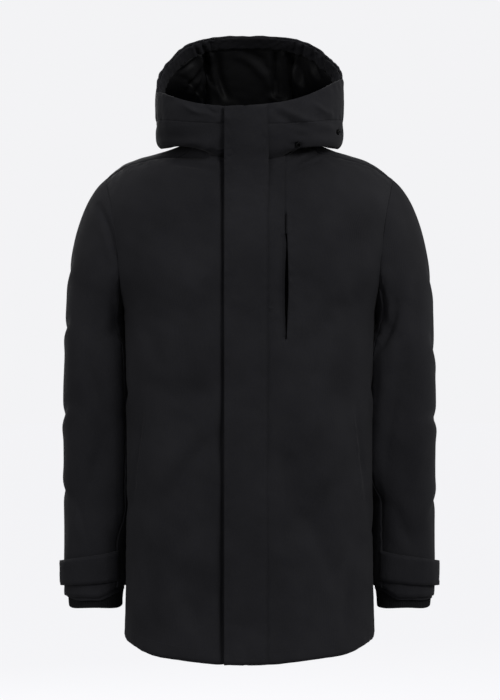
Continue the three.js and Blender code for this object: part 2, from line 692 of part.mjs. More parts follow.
// Quilted lining below the strip: puffs between the seams of the centre piece and the cross
// channels, over a plain back.
function buildLining(columns) {
  const skin = new Skin();
  const puff = (column, t) => {
    const fromSeam = abs(abs(column.angle - 180) - GORE_HALF_ANGLE);
    const acrossChannels = abs(sin(PI * LINING.channels * t)) ** LINING.fullness;
    return LINING.puff * min(fromSeam / LINING.seam, 1) * acrossChannels;
  };
  const rows = (standOf) => evenly(LINING.rows).map((_, i, levels) => {
    const t = levels[levels.length - 1 - i];
    return columns.map((column, c) => {
      const top = ringAtDepth(column, FACING.depth + LINING.gap);
      return insidePoint(columns, c, mix(LINING.fromRing, top, t), standOf(column, t));
    });
  });
  const back = rows(() => SHELL + LINING.stand);
  const front = rows((column, t) => SHELL + LINING.stand + LINING.thick + puff(column, t));
  skin.addGrid(front, (r, c) => hoodPiece(columns, "lining")(r, c), back);
  return skin;
}

// Pieces that lie on the fronts and the collar

// The first height, going from one to another, at which the cloth is found in the front view.
function edgeOf(skin, x, from, to) {
  let z = from;
  while (!skin.frontAt(x, z) && abs(z - to) > EDGE_STEP) z += sign(to - z) * EDGE_STEP;
  return z;
}

const movedOut = ({ point, normal }, stand) => point.addScaledVector(normal, stand);

// A strip on the fronts. Its columns are parts of its width, from the wearer's right, and its rows run up.
function stripOn(skin, name, { xAt, zAt, columns, rows, stand, thick }) {
  const strip = new Skin();
  const grid = evenly(rows).map((t) => columns.map((s) => movedOut(skin.frontAt(xAt(s, t), zAt(t)), stand)));
  strip.addGrid(grid, () => name);
  return strip.wall(name, thick);
}

// The cloth's level in the front view, taken as far out, or in, as it reaches close by.
function levelAt(skins, x, z, stand) {
  const levels = [];
  for (const dx of [-COVER.x, 0, COVER.x]) {
    for (const dz of [-COVER.z, 0, COVER.z]) {
      for (const skin of skins) {
        const place = skin.frontAt(x + dx, z + dz);
        if (place) levels.push(place.point.y - stand / max(-place.normal.y, COVER.steepest));
      }
    }
  }
  return stand > 0 ? min(...levels) : max(...levels);
}

// A strip from the hem to the hood, across the seam between the body and the collar.
function flapOn(skins, name, { columns, foot, topOf, stand, thick }) {
  const flap = new Skin();
  const rows = panelEnds(0, NECK_DROP_FRONT).map(({ inner }) => inner.z);
  const low = rows.filter((z) => z < COVER.fineFrom).reverse();
  const fine = evenly(COVER.fineRows).map((t) => mix(COVER.fineFrom, HOOD[RIM - 1].zFront, t));
  const levels = [...low, ...fine].map((z) => (z - HEM_Z) / (HOOD[RIM - 1].zFront - HEM_Z));
  const grid = levels.map((t) => columns.map((x) => {
    const z = mix(foot, topOf(x), t);
    return vector(x, levelAt(skins, x, z, stand), z);
  }));
  const back = grid.map((row) => row.map((p) => vector(p.x, p.y + thick, p.z)));
  flap.addGrid(grid, () => name, back);
  return flap.wall(name, thick);
}

const buildPlacket = (cloth, hood) => flapOn([cloth, hood], "placket", {
  columns: PLACKET.columns,
  foot: HEM_Z + FLAP_MARGIN,
  topOf: (x) => edgeOf(hood, x, SEARCH.high, SEARCH.middle) - FLAP_MARGIN,
  stand: LAYER_GAP + PLACKET.thick,
  thick: PLACKET.thick,
});

// The tape lies behind the edges of the fronts.
function buildZipTape(cloth, hood) {
  const halfGap = ZIP.gap / 2 + LAYER_GAP;
  return flapOn([cloth, hood], "zip_tape", {
    columns: [ZIP.x - ZIP.tape / 2, ZIP.x - halfGap, ZIP.x + halfGap, ZIP.x + ZIP.tape / 2],
    foot: ZIP.foot,
    topOf: () => NECK_POINT.z - NECK_DROP_FRONT - FLAP_MARGIN,
    stand: -SHELL - LAYER_GAP,
    thick: ZIP.tapeThick,
  });
}

// The chain lies in the gap between the fronts.
function buildZipChain(cloth, hood, columns) {
  const chain = new Skin();
  const top = hoodPoint(columns[0], ZIP.topRing).z;
  const neckZ = NECK_POINT.z - NECK_DROP_FRONT;
  const rows = panelEnds(0, NECK_DROP_FRONT).map(({ inner }) => inner.z);
  const levels = [
    ZIP.foot,
    ...rows.filter((z) => z > ZIP.foot && z < neckZ - FLAP_MARGIN).reverse(),
    ...HOOD.map((row) => row.zFront).filter((z) => z < top),
    top,
  ];
  const edge = ZIP.gap / 2 + INSIDE;
  const grid = levels.map((z) => [-1, 1].map((way) => {
    const place = cloth.frontAt(ZIP.x + way * edge, z) || hood.frontAt(ZIP.x + way * edge, z);
    return vector(ZIP.x + (way * ZIP.chain) / 2, place.point.y + ZIP.chainDepth, z);
  }));
  const back = grid.map((row) => row.map((p) => vector(p.x, p.y + ZIP.chainThick, p.z)));
  chain.addGrid(grid, () => "zip_chain", back);
  return chain.wall("zip_chain", ZIP.chainThick);
}

const buildPocketBag = (cloth) => stripOn(cloth, "chest_pocket_bag", {
  xAt: (s) => mix(POCKET_BAG.right, POCKET_BAG.left, s),
  zAt: (t) => mix(POCKET_BAG.bottom, POCKET_BAG.top, t),
  columns: POCKET_BAG.columns,
  rows: POCKET_BAG.rows,
  stand: -SHELL - POCKET_BAG.gap,
  thick: POCKET_BAG.thick,
});

// A welt over the slanted mouth of a hand pocket.
function buildHandWelt(cloth, side) {
  const { topX, topZ, bottomX, bottomZ, width, columns, rows, thick, gap } = HAND_POCKET;
  const name = `hand_pocket_welt_${side > 0 ? "left" : "right"}`;
  const outer = (t) => mix(bottomX, topX, t);
  return stripOn(cloth, name, {
    xAt: (s, t) => (side > 0 ? outer(t) - width * (1 - s) : -outer(t) + width * s),
    zAt: (t) => mix(bottomZ, topZ, t),
    columns,
    rows,
    stand: gap + thick,
    thick,
  });
}

// Cuffs

function buildStrap(side) {
  const name = `cuff_strap_${side > 0 ? "left" : "right"}`;
  const strap = new Skin();
  const rows = evenly(STRAP.rows).map((up) => evenly(STRAP.steps).map((s) => {
    const degrees = mix(STRAP.base, STRAP.tip, s);
    const z = mix(mix(STRAP.baseBottom, STRAP.tipBottom, s), mix(STRAP.baseTop, STRAP.tipTop, s), up);
    const a = degrees * DEGREE;
    const ring = (column) => along(SLEEVE, "z", column, z);
    const out = vector(cos(a) * ring("halfDepth"), -sin(a) * ring("halfWidth"), 0);
    const stand = STRAP.thick + mix(STRAP.standBase, STRAP.standOuter, clamp(s / STRAP.standFrom, 0, 1));
    const p = tubePoint(degrees, z).addScaledVector(out.normalize(), stand);
    return vector(side * p.x, p.y, p.z);
  }));
  strap.addGrid(side > 0 ? rows : rows.map((row) => row.reverse()), () => name);
  return strap.wall(name, STRAP.thick);
}

// The knit's ribs stand out over a plain inside. Its top lies against the inside of the sleeve.
function buildRibCuff(side) {
  const name = `rib_cuff_${side > 0 ? "left" : "right"}`;
  const cuff = new Skin();
  const ring = (z, standOf) => evenly(2 * RIB_CUFF.ribs).map((t, i) => {
    const middle = vector(RIB_CUFF.x, RIB_CUFF.y, z);
    const out = tubePoint(360 * t, z).sub(middle);
    const inSleeve = out.length() - SHELL - LAYER_GAP - RIB_CUFF.ribHeight;
    const radius = z === RIB_CUFF.top ? inSleeve : RIB_CUFF.radius;
    const p = out.normalize().multiplyScalar(radius + standOf(i)).add(middle);
    return vector(side * p.x, p.y, p.z);
  });
  const levels = [RIB_CUFF.top, RIB_CUFF.bottom];
  const turned = (row) => (side > 0 ? row : row.reverse());
  const front = levels.map((z) => turned(ring(z, (i) => (i % 2) * RIB_CUFF.ribHeight)));
  const back = levels.map((z) => turned(ring(z, () => -RIB_CUFF.thick)));
  cuff.addGrid(front, () => name, back);
  return cuff.wall(name, RIB_CUFF.thick);
}

// Eyelets on the wearer's left of the collar

function eyeletMesh(hood, { name, x, z }) {
  const { hole, outer, thick, stand, round: edge, sides } = EYELET;
  const profile = [
    [hole, 0],
    [outer, 0],
    [outer, thick - edge],
    [outer - edge, thick],
    [hole + edge, thick],
    [hole, thick - edge],
    [hole, 0],
  ];
  const geometry = new THREE.LatheGeometry(profile.map(([r, h]) => new THREE.Vector2(r, h)), sides);
  const { point, normal } = hood.frontAt(x, z);
  const mesh = meshOf(name, geometry, "eyelet");
  mesh.position.copy(point.addScaledVector(normal, stand));
  mesh.quaternion.setFromUnitVectors(vector(0, 1, 0), normal);
  return mesh;
}

// The garment

const FINISHES = {
  shell: { color: 0x1e1e21, roughness: 0.85, metalness: 0 },
  lining: { color: 0x0f0f11, roughness: 0.35, metalness: 0 },
  rib: { color: 0x161617, roughness: 0.95, metalness: 0 },
  zip: { color: 0x121213, roughness: 0.6, metalness: 0 },
  eyelet: { color: 0x0c0c0d, roughness: 0.5, metalness: 0.6 },
};

function meshOf(name, geometry, finish) {
  const mesh = new THREE.Mesh(geometry, new THREE.MeshStandardMaterial(FINISHES[finish]));
  mesh.name = name;
  return mesh;
}

const CLOTH_PIECES = [
  "front_right", "front_left", "back",
  "sleeve_top_right", "sleeve_top_left", "sleeve_under_right", "sleeve_under_left",
];
const HOOD_PIECES = ["collar", "hood_right", "hood_centre", "hood_left"];
const LINING_PIECES = ["lining_right", "lining_centre", "lining_left"];

function buildParka() {
  const columns = hoodColumns();
  const cloth = buildCloth();
  const hood = buildHood(columns);
  const facing = buildFacing(columns);
  const lining = buildLining(columns);
  const parka = new THREE.Group();
  for (const name of CLOTH_PIECES) parka.add(meshOf(name, cloth.wall(name, SHELL), "shell"));
  for (const name of HOOD_PIECES) parka.add(meshOf(name, hood.wall(name, SHELL), "shell"));
  parka.add(meshOf("hood_facing", facing.wall("hood_facing", FACING.thick), "shell"));
  for (const name of LINING_PIECES) parka.add(meshOf(name, lining.wall(name, LINING.thick), "lining"));
  parka.add(meshOf("placket", buildPlacket(cloth, hood), "shell"));
  parka.add(meshOf("zip_tape", buildZipTape(cloth, hood), "zip"));
  parka.add(meshOf("zip_chain", buildZipChain(cloth, hood, columns), "zip"));
  parka.add(meshOf("chest_pocket_bag", buildPocketBag(cloth), "lining"));
  for (const side of [-1, 1]) {
    const name = side > 0 ? "left" : "right";
    parka.add(meshOf(`hand_pocket_welt_${name}`, buildHandWelt(cloth, side), "shell"));
    parka.add(meshOf(`cuff_strap_${name}`, buildStrap(side), "shell"));
    parka.add(meshOf(`rib_cuff_${name}`, buildRibCuff(side), "rib"));
  }
  for (const eyelet of EYELETS) parka.add(eyeletMesh(hood, eyelet));
  return parka;
}

export default buildParka();
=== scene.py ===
"""A hooded winter parka of matt black cloth, closed at the front and filled out as if worn."""

import math

import bmesh
import bpy
import numpy as np
from mathutils import Matrix, Vector, bvhtree, kdtree


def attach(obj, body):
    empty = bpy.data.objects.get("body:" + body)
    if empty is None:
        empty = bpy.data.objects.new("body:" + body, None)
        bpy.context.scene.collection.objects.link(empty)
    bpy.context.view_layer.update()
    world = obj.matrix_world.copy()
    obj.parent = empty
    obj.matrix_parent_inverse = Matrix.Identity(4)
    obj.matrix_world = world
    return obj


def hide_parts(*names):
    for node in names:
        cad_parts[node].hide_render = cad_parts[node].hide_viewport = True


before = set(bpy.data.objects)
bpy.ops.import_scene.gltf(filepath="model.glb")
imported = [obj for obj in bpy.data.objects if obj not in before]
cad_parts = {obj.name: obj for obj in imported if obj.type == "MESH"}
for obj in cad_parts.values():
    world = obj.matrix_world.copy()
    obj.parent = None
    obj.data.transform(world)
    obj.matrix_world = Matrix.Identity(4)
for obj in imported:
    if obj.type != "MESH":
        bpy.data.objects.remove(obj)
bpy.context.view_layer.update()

MM = 0.001
BODY_MIDDLE = (0, 10)  # x and y of the upright line that the body goes round, in mm
LEFT_SLEEVE = (248, 22)  # the same for each sleeve
RIGHT_SLEEVE = (-LEFT_SLEEVE[0], LEFT_SLEEVE[1])
SLEEVES = (("right", RIGHT_SLEEVE), ("left", LEFT_SLEEVE))
HOOD_MIDDLE = (0, 10, 80)
FRONT = np.array((0, -1, 0))
UP = np.array((0, 0, 1))
AHEAD = -400  # y in front of everything, where rays start, in mm
WELDED_OVER = 0.02  # mm
SHARP = math.radians(50)  # where the wall turns over its own edge
FOUR_SIDED = math.radians(75)  # how far from a rectangle two paired triangles may be
SEAM_HALF_GAP = 0.13  # mm that each edge grows, so that sewn edges meet
FACING = {"from": 0.1, "over": 0.4}  # how much of a point's way out has to go that way
TINY = 1e-6


# Cloth: fine copies of the solids, with their outer side, inner side and edges known

class Cloth:
    """A fine, smooth copy of one solid wall. Its points are moved as arrays, in mm."""

    def __init__(self, node, levels, middle, seen_from_inside=False, finer=None):
        self.node = node
        base = welded(node)
        mark_sides(base, middle, seen_from_inside)
        self.mesh = smoothed(base, node, levels)
        if finer:
            refine(self.mesh, finer)
        self.points = vectors(self.mesh.vertices, "co") / MM
        self.points += SEAM_HALF_GAP * edge_ways(self.mesh)
        self.out = unit(vectors(self.mesh.attributes["out"].data, "vector"))
        self.from_rim = distance_to(self.points, rim(self.mesh))

    @property
    def x(self):
        return self.points[:, 0]

    @property
    def z(self):
        return self.points[:, 2]

    def push(self, amount):
        """Moves each point out of the cloth by its own amount."""
        self.points += self.out * np.asarray(amount)[:, None]

    def lift(self, amount):
        """Moves each point up by its own amount."""
        self.points[:, 2] += amount

    def shift(self, amount):
        """Moves each point to the wearer's left by its own amount."""
        self.points[:, 0] += amount

    def facing(self, way):
        """How far each point looks that way, from 0 to 1."""
        return np.clip((self.out @ np.array(way) - FACING["from"]) / FACING["over"], 0, 1)

    def finish(self, material, slot):
        """Writes the points back and puts the piece in the scene in place of its solid."""
        self.mesh.vertices.foreach_set("co", (self.points * MM).astype(np.float32).ravel())
        self.mesh.update()
        self.tree = tree_of(self.mesh)
        self.piece = placed(self.node + "_cloth", self.mesh, material, slot, self.node)
        return self


def mesh_of(name, bm):
    """A new mesh of the faces, which are used up."""
    mesh = bpy.data.meshes.new(name)
    bm.to_mesh(mesh)
    bm.free()
    return mesh


def in_scene(name, data):
    """A new object of that data, in the scene."""
    made = bpy.data.objects.new(name, data)
    bpy.context.scene.collection.objects.link(made)
    return made


def vectors(items, field):
    """A field of three numbers for each item, as an array."""
    values = np.zeros(len(items) * 3)
    items.foreach_get(field, values)
    return values.reshape(-1, 3)


def unit(ways):
    """Each way at length 1. A way without length stays so."""
    return ways / np.maximum(np.linalg.norm(ways, axis=1, keepdims=True), TINY)


def welded(node):
    """The solid's triangles, welded and paired up into four-sided faces."""
    bm = bmesh.new()
    bm.from_mesh(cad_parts[node].data)
    bmesh.ops.remove_doubles(bm, verts=bm.verts, dist=WELDED_OVER * MM)
    bmesh.ops.join_triangles(
        bm, faces=bm.faces, angle_face_threshold=SHARP, angle_shape_threshold=FOUR_SIDED)
    return bm


def islands(bm):
    """Groups of faces that no sharp edge parts, largest first."""
    left, found = set(bm.faces), []
    while left:
        group, waiting = [], [left.pop()]
        while waiting:
            face = waiting.pop()
            group.append(face)
            for edge in face.edges:
                if edge.calc_face_angle(math.pi) < SHARP:
                    near = [f for f in edge.link_faces if f in left]
                    left.difference_update(near)
                    waiting += near
        found.append(group)
    return sorted(found, key=lambda group: -sum(f.calc_area() for f in group))


def away(face, middle):
    """How much a face points away from the middle, by its area."""
    centre = face.calc_center_median() / MM
    height = middle[2] if len(middle) > 2 else centre.z
    return face.calc_area() * face.normal.dot(centre - Vector((*middle[:2], height)))


def mark_sides(bm, middle, seen_from_inside):
    """Marks each face as outer side 1, inner side 2 or edge 0, and gives each point its way out."""
    side = bm.faces.layers.int.new("side")
    out = bm.verts.layers.float_vector.new("out")
    crease = bm.edges.layers.float.new("crease_edge")
    sides = islands(bm)[:2]
    sides.sort(key=lambda group: -sum(away(f, middle) for f in group))
    if seen_from_inside:
        sides.reverse()
    for number, group in enumerate(sides, 1):
        for face in group:
            face[side] = number
    for vert in bm.verts:
        way = Vector()
        for face in vert.link_faces:
            way += face.normal * face.calc_area() * (0, 1, -1)[face[side]]
        vert[out] = way.normalized()
    for edge in bm.edges:
        edge[crease] = float(edge.calc_face_angle(math.pi) > SHARP)


def subdivided(bm, name, levels):
    """A mesh of the faces, subdivided smoothly."""
    mesh = bpy.data.meshes.new(name)
    bm.to_mesh(mesh)
    shape = in_scene(name, mesh)
    smooth = shape.modifiers.new("smooth", "SUBSURF")
    smooth.levels = smooth.render_levels = levels
    depsgraph = bpy.context.evaluated_depsgraph_get()
    made = bpy.data.meshes.new_from_object(
        shape.evaluated_get(depsgraph), preserve_all_data_layers=True, depsgraph=depsgraph)
    bpy.data.objects.remove(shape)
    bpy.data.meshes.remove(mesh)
    return made


def smoothed(bm, name, levels):
    """Subdivides the faces so that the smooth surface still goes through the solid's own points."""
    first = subdivided(bm, name, 1)
    for vert in bm.verts:
        vert.co += vert.co - first.vertices[vert.index].co
    bpy.data.meshes.remove(first)
    made = subdivided(bm, name, levels)
    bm.free()
    return made


def refine(mesh, where, times=2):
    """Cuts the faces finer wherever both ends of an edge are in the given place."""
    bm = bmesh.new()
    bm.from_mesh(mesh)
    for _ in range(times):
        edges = [e for e in bm.edges if all(where(v.co / MM) for v in e.verts)]
        bmesh.ops.subdivide_edges(bm, edges=edges, cuts=1, use_grid_fill=True)
    bm.to_mesh(mesh)
    bm.free()


def edge_ways(mesh):
    """For the points on the wall's own edge, the way in which that edge faces."""
    side = np.zeros(len(mesh.polygons), int)
    mesh.attributes["side"].data.foreach_get("value", side)
    ways = np.zeros((len(mesh.vertices), 3))
    for i in np.nonzero(side == 0)[0]:
        face = mesh.polygons[i]
        ways[list(face.vertices)] += face.normal
    return unit(ways)


def rim(mesh):
    """The points of the outer side's edge, in mm."""
    bm = bmesh.new()
    bm.from_mesh(mesh)
    side = bm.faces.layers.int["side"]
    edges = [e for e in bm.edges if sorted(f[side] for f in e.link_faces)[-2:] == [0, 1]]
    points = {v.index: v.co / MM for e in edges for v in e.verts}
    bm.free()
    return list(points.values())


def distance_to(points, targets):
    """How far each point is from the nearest target, in mm."""
    tree = kdtree.KDTree(len(targets))
    for i, target in enumerate(targets):
        tree.insert(target, i)
    tree.balance()
    return np.array([tree.find(p)[2] for p in points])


def tree_of(mesh):
    """The mesh's faces for finding the nearest place on them, in mm."""
    points = [v.co / MM for v in mesh.vertices]
    return bvhtree.BVHTree.FromPolygons(points, [list(p.vertices) for p in mesh.polygons])


def placed(name, mesh, material, slot, *nodes):
    """Puts a finished mesh in the scene on the one body, with its material. The slot is not used."""
    mesh.name = name
    mesh.materials.clear()
    mesh.materials.append(material)
    for extra in ("out", "side", "crease_edge"):
        if extra in mesh.attributes:
            mesh.attributes.remove(mesh.attributes[extra])
    mesh.shade_smooth()
    mesh.set_sharp_from_angle(angle=SHARP)
    piece = in_scene(name, mesh)
    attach(piece, "root")
    if nodes:
        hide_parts(*nodes)
    return piece


# How the cloth lies: swells, seams and creases, as amounts to push out, in mm

def ease(t):
    """Goes smoothly from 0 to 1 as t does."""
    t = np.clip(t, 0, 1)
    return t * t * (3 - 2 * t)


def rise(values, start, full, height=1.0):
    """Goes smoothly from 0 at the start to the height where it is full, which may be further down."""
    return height * ease((values - start) / (full - start))


def bell(values, middle, half_width, height=1.0):
    """The height at the middle, dying away on both sides."""
    return height * np.exp(-(((values - middle) / half_width) ** 2))


def swell(points, length, seed, waves=10, spread=(0.7, 1.5)):
    """Soft unevenness about as long as given, from a handful of waves that cross."""
    chance = np.random.default_rng(seed)
    total = np.zeros(len(points))
    for _ in range(waves):
        way = chance.normal(size=3)
        way *= 2 * math.pi * chance.uniform(*spread) / length / np.linalg.norm(way)
        total += np.sin(points @ way + chance.uniform(0, 2 * math.pi))
    return total / math.sqrt(waves / 2)


def swells(points, rows):
    """Several swells at once. Each row is a height, a length and a seed."""
    return sum(height * swell(points, length, seed) for height, length, seed in rows)


def rolled_edge(from_rim, width, depth):
    """The cloth dips into its seams and rolls over at its free edges."""
    return -depth * np.clip(1 - from_rim / width, 0, 1) ** 2


def puckers(cloth, length, height, reach):
    """Small gathers along the seams, dying away from them."""
    return height * swell(cloth.points, length, seed=5) * np.exp(-cloth.from_rim / reach)


VIEWS = {
    "front": (0, (0, -1, 0)),
    "back": (0, (0, 1, 0)),
    "left": (1, (1, 0, 0)),
    "right": (1, (-1, 0, 0)),
}
# How bluntly a fold ends, and where its lip lies and how wide it is in half widths of the fold
FOLD = {"ends": 0.7, "lip_at": 1.9, "lip_width": 1.3}


def creases(cloth, folds):
    """Troughs along lines in a view. Across is x in front and back views, y in side views."""
    total = np.zeros(len(cloth.points))
    in_views = [(*VIEWS[view], *row) for view, group in folds.items() for row in group]
    for axis, way, a0, z0, a1, z1, bow, width, depth, lip in in_views:
        da, dz = a1 - a0, z1 - z0
        length = math.hypot(da, dz)
        a, z = cloth.points[:, axis] - a0, cloth.points[:, 2] - z0
        along = np.clip((a * da + z * dz) / length ** 2, 0, 1)
        fade = np.sin(math.pi * along) ** FOLD["ends"]
        across = (a * dz - z * da) / length - bow * 4 * along * (1 - along)
        trough = bell(across, 0, width)
        ridge = bell(across, FOLD["lip_at"] * width, FOLD["lip_width"] * width)
        total += cloth.facing(way) * fade * (lip * ridge - depth * trough)
    return total


# Folds, given in each view. Each row is the line's two ends in mm, how far it bows, its half
# width, its depth, and the height of the lip beside it
BODY_FOLDS = {
    "front": [
        (118, -8, 62, -42, 3, 3.5, 5, 2.4),
        (112, -24, 60, -48, 2, 3, 3.6, 1.8),
        (38, -40, 58, -26, 1, 2, 2, 0.8),
        (-138, -12, -60, -22, -3, 6, 7.5, 0.6),
        (-122, -28, -48, -46, -3, 5, 4.6, 1.8),
        (57, -480, 80, -590, 5, 12, 5, 2),
        (74, -560, 140, -700, -8, 16, 4.6, 1.6),
        (34, -560, 70, -700, 4, 14, -3, 0),
        (-46, -446, -128, -560, 8, 13, 5, 2),
        (-50, -392, -168, -368, -6, 18, 4.6, 1.6),
        (-46, -575, -150, -660, 6, 18, 4, 1.2),
        (-110, -640, -60, -790, 5, 16, 3, 1),
        (62, -330, 150, -240, 6, 16, 3.2, 1.2),
        (-160, -110, -70, -210, -6, 18, 3, 1),
        (-172, -260, -120, -360, 6, 12, 2.6, 1),
        (172, -190, 130, -330, -8, 14, 3, 1),
        (176, -480, 120, -570, 6, 14, 3, 1.2),
        (164, -600, 150, -780, 5, 12, 3.2, 1.2),
        (-166, -600, -152, -780, -5, 12, 3.2, 1.2),
    ],
    "back": [
        (-150, -120, -30, -260, 8, 18, 4.4, 1.6),
        (140, -140, 30, -250, -8, 16, 4, 1.6),
        (-160, -330, -50, -380, 8, 14, 3, 1.2),
        (-160, -420, -20, -480, 10, 14, 4.6, 1.8),
        (150, -440, 20, -530, -6, 16, 4.2, 1.6),
        (130, -330, 60, -360, -5, 13, 3, 1.2),
        (-110, -590, 60, -640, 6, 18, 3.6, 1.2),
        (60, -640, 90, -790, 6, 16, 3.4, 1.2),
        (-90, -660, -70, -790, -5, 14, 3.2, 1.2),
    ],
    "left": [
        (-60, -360, 70, -440, 5, 11, 3.8, 1.4),
        (50, -560, -40, -620, 5, 12, 3.4, 1.2),
    ],
    "right": [
        (-60, -400, 70, -340, 5, 11, 3.8, 1.4),
        (60, -600, -40, -560, 5, 12, 3.4, 1.2),
    ],
}

SLEEVE_FOLDS = {
    "front": [
        (-240, -86, -206, -186, -5, 5, 5, 2.2),
        (-206, -200, -214, -300, 3, 6, 3, 1),
        (-270, -560, -256, -625, 2, 5, 2.6, 1.2),
        (-258, -320, -222, -430, 4, 11, 3.2, 1.4),
        (-230, -440, -262, -560, -5, 11, 3.2, 1.4),
        (206, -205, 219, -292, 4, 5, 4.6, 2),
        (232, -240, 196, -330, -8, 5.5, 5, 2.4),
        (248, -310, 212, -530, 6, 10, 4.2, 1.8),
        (282, -466, 254, -545, 0, 8, -2.6, 0),
        (262, -190, 254, -330, -4, 11, 2.2, 1),
        (230, -560, 262, -636, 4, 9, 2.8, 1.2),
    ],
    "left": [
        (-30, -290, 60, -350, 6, 9, 4.2, 1.6),
        (-36, -420, 64, -450, -5, 10, 4, 1.6),
        (60, -540, -20, -590, 5, 9, 3.4, 1.2),
        (-20, -180, 40, -240, 5, 10, 3, 1),
    ],
    "right": [
        (-34, -270, 60, -320, -6, 9, 4.2, 1.6),
        (-30, -400, 64, -440, 5, 10, 4, 1.6),
        (60, -520, -26, -560, -4, 9, 3.2, 1.2),
        (-20, -170, 44, -220, 5, 10, 3, 1),
    ],
    "back": [
        (-270, -290, -215, -370, 5, 9, 4.4, 1.6),
        (-275, -440, -220, -400, 4, 9, 3.6, 1.4),
        (-270, -600, -225, -560, 4, 9, 3, 1.2),
        (270, -310, 215, -390, -5, 9, 4.4, 1.6),
        (275, -470, 220, -430, -4, 9, 3.6, 1.4),
        (270, -620, 225, -580, -4, 9, 3, 1.2),
    ],
}

HOOD_FOLDS = {
    "front": [
        (-104, 60, -68, 40, 2, 4, -3.6, 0),
        (-70, 56, -48, 40, 2, 3, 2.6, 1),
        (-48, 8, -72, -14, 1, 6, -3.4, 0),
        (-136, -2, -70, -8, 4, 6, 4, 1.6),
        (-142, 34, -60, 28, 2, 1.6, 0.9, 0.3),
        (34, 58, 100, 30, 3, 5, -3.2, 0),
        (40, 44, 90, 20, 3, 4, 2.8, 1.2),
        (62, 30, 84, 6, 3, 5, 3, 1),
        (96, 62, 130, 44, 2, 4, -2.6, 0),
        (100, 40, 142, 34, 2, 5, 2.2, 0.8),
        (141, 2, 74, -9, -10, 2.6, 4.2, 1.8),
        (96, 14, 132, 22, 3, 8, 2, 0.8),
        (-144, 16, -70, 12, 6, 9, 3, 1.2),
    ],
    "left": [
        (-60, 60, 30, 20, 5, 9, 3, 1.2),
        (-30, 90, 70, 60, -5, 9, 2.6, 1),
    ],
    "right": [
        (-60, 50, 30, 24, 5, 9, 3, 1.2),
        (-20, 92, 76, 64, 5, 9, 2.6, 1),
    ],
    "back": [
        (-70, 120, -34, 30, 5, 11, 3.4, 1.2),
        (70, 110, 36, 24, -5, 11, 3.4, 1.2),
        (-90, 60, -10, 40, 5, 10, 2.6, 1),
        (90, 44, 14, 30, -4, 10, 2.4, 1),
    ],
}

# Short gathers of the turned-in strip, where its cord draws it together
FACING_FOLDS = {
    "front": [
        (-92, 180, -78, 156, 1, 2.4, 3.4, 1.6),
        (-81, 186, -69, 162, 1, 2.6, 4.4, 2),
        (-69, 190, -60, 168, -1, 2.4, 4.2, 2),
        (-56, 192, -51, 170, 0, 2.2, 3, 1.2),
        (66, 190, 62, 168, 0, 2.2, 3.2, 1.4),
        (76, 186, 72, 164, 1, 2.4, 4, 1.8),
        (88, 180, 88, 152, 2, 2.4, 4, 1.8),
        (102, 172, 108, 138, 2, 2.8, 4.2, 2.2),
        (116, 160, 122, 126, 1, 2.6, 3.4, 1.6),
        (-147, 110, -147, 80, 0, 1.6, 1.6, 0.8),
        (-142, 110, -142, 80, 0, 1.6, 1.6, 0.8),
        (-137, 112, -137, 80, 0, 1.6, 1.6, 0.8),
    ],
}

# Wrinkles of the hood's lining, drawn together by the cord at the rim on each side
LINING_FOLDS = {
    "front": [
        (-78, 174, -118, 130, -4, 3, 5, 3.6),
        (-77, 174, -106, 104, -8, 3.2, 6, 4.2),
        (-76, 174, -88, 98, -5, 3, 5.5, 4),
        (-75, 174, -72, 100, 2, 2.8, 5.5, 3.6),
        (-74, 174, -58, 116, 5, 3, 5, 3.2),
        (-58, 178, -66, 132, -3, 2.4, 5, 2.6),
        (-50, 178, -34, 96, 8, 5, 8, 2),
        (-118, 128, -76, 88, -8, 5, 6, 3),
        (-18, 176, 42, 122, -12, 6, 5, 4.6),
        (46, 180, 46, 94, 4, 4.4, 9, 3),
        (54, 176, 84, 118, -7, 3.6, 5, 3.6),
        (60, 174, 70, 138, 0, 2.6, 4.5, 3),
        (82, 164, 92, 112, 3, 4, 5, 2.6),
        (104, 162, 118, 118, 4, 3.2, 5, 2.8),
        (34, 104, 62, 94, 2, 4, -4, 0),
    ],
}

# Measures of single places, in mm. A bell is its middle, half width and height. A rise is where it
# starts, where it is full and its height. Where the height is missing, it is 1
FLAP = {"free": -38.7, "sewn": 30}  # x of the front flap's edges
FLAP_EDGES = {
    "narrower": (-24, -42, 3.3),
    "sewn": [(FLAP["sewn"] - 7, FLAP["sewn"] - 1, -2.6), (FLAP["sewn"] - 2.6, FLAP["sewn"] - 0.4, -2.4)],
    "free": (FLAP["free"] + 9, FLAP["free"], 1.0),
    "uneven": (FLAP["free"] + 14, FLAP["free"], 0.5),
}
SEWN_GROOVE = (FLAP["sewn"] + 0.4, 1.9, -1.8)
PRESS_STUDS = {"x": -31, "levels": (-18, -213, -407, -602), "ring": (5.5, 1.8, -0.7)}
BESIDE_FLAP = {"x": FLAP["free"] - 2, "depth": 5.6, "deeper": 3.0, "uneven": 0.8, "width": 2.6,
               "wider": 5.0, "width_under_flap": 9.0, "loose": [(-460, 34, 1.0), (-650, 110, 0.7)]}
# Heights between which the flap spans the hollow at the neck, how tautly, and over how far it is even
NECK_SPAN = {"low": -110, "high": 22, "tension": 0.35, "x": (-36, 28), "ends": 0.2,
             "smoothing": [(-22, 0.12), (-11, 0.23), (0, 0.3), (11, 0.23), (22, 0.12)]}
NECK_ROOT = {"x": (44, 24), "z": (-30, 14, 6.5)}
CHEST_MOUTH = {"x": 55.5, "top": -108, "bottom": -308, "roundness": 0.6, "finer_x": (47, 64),
               "finer_below": 8}
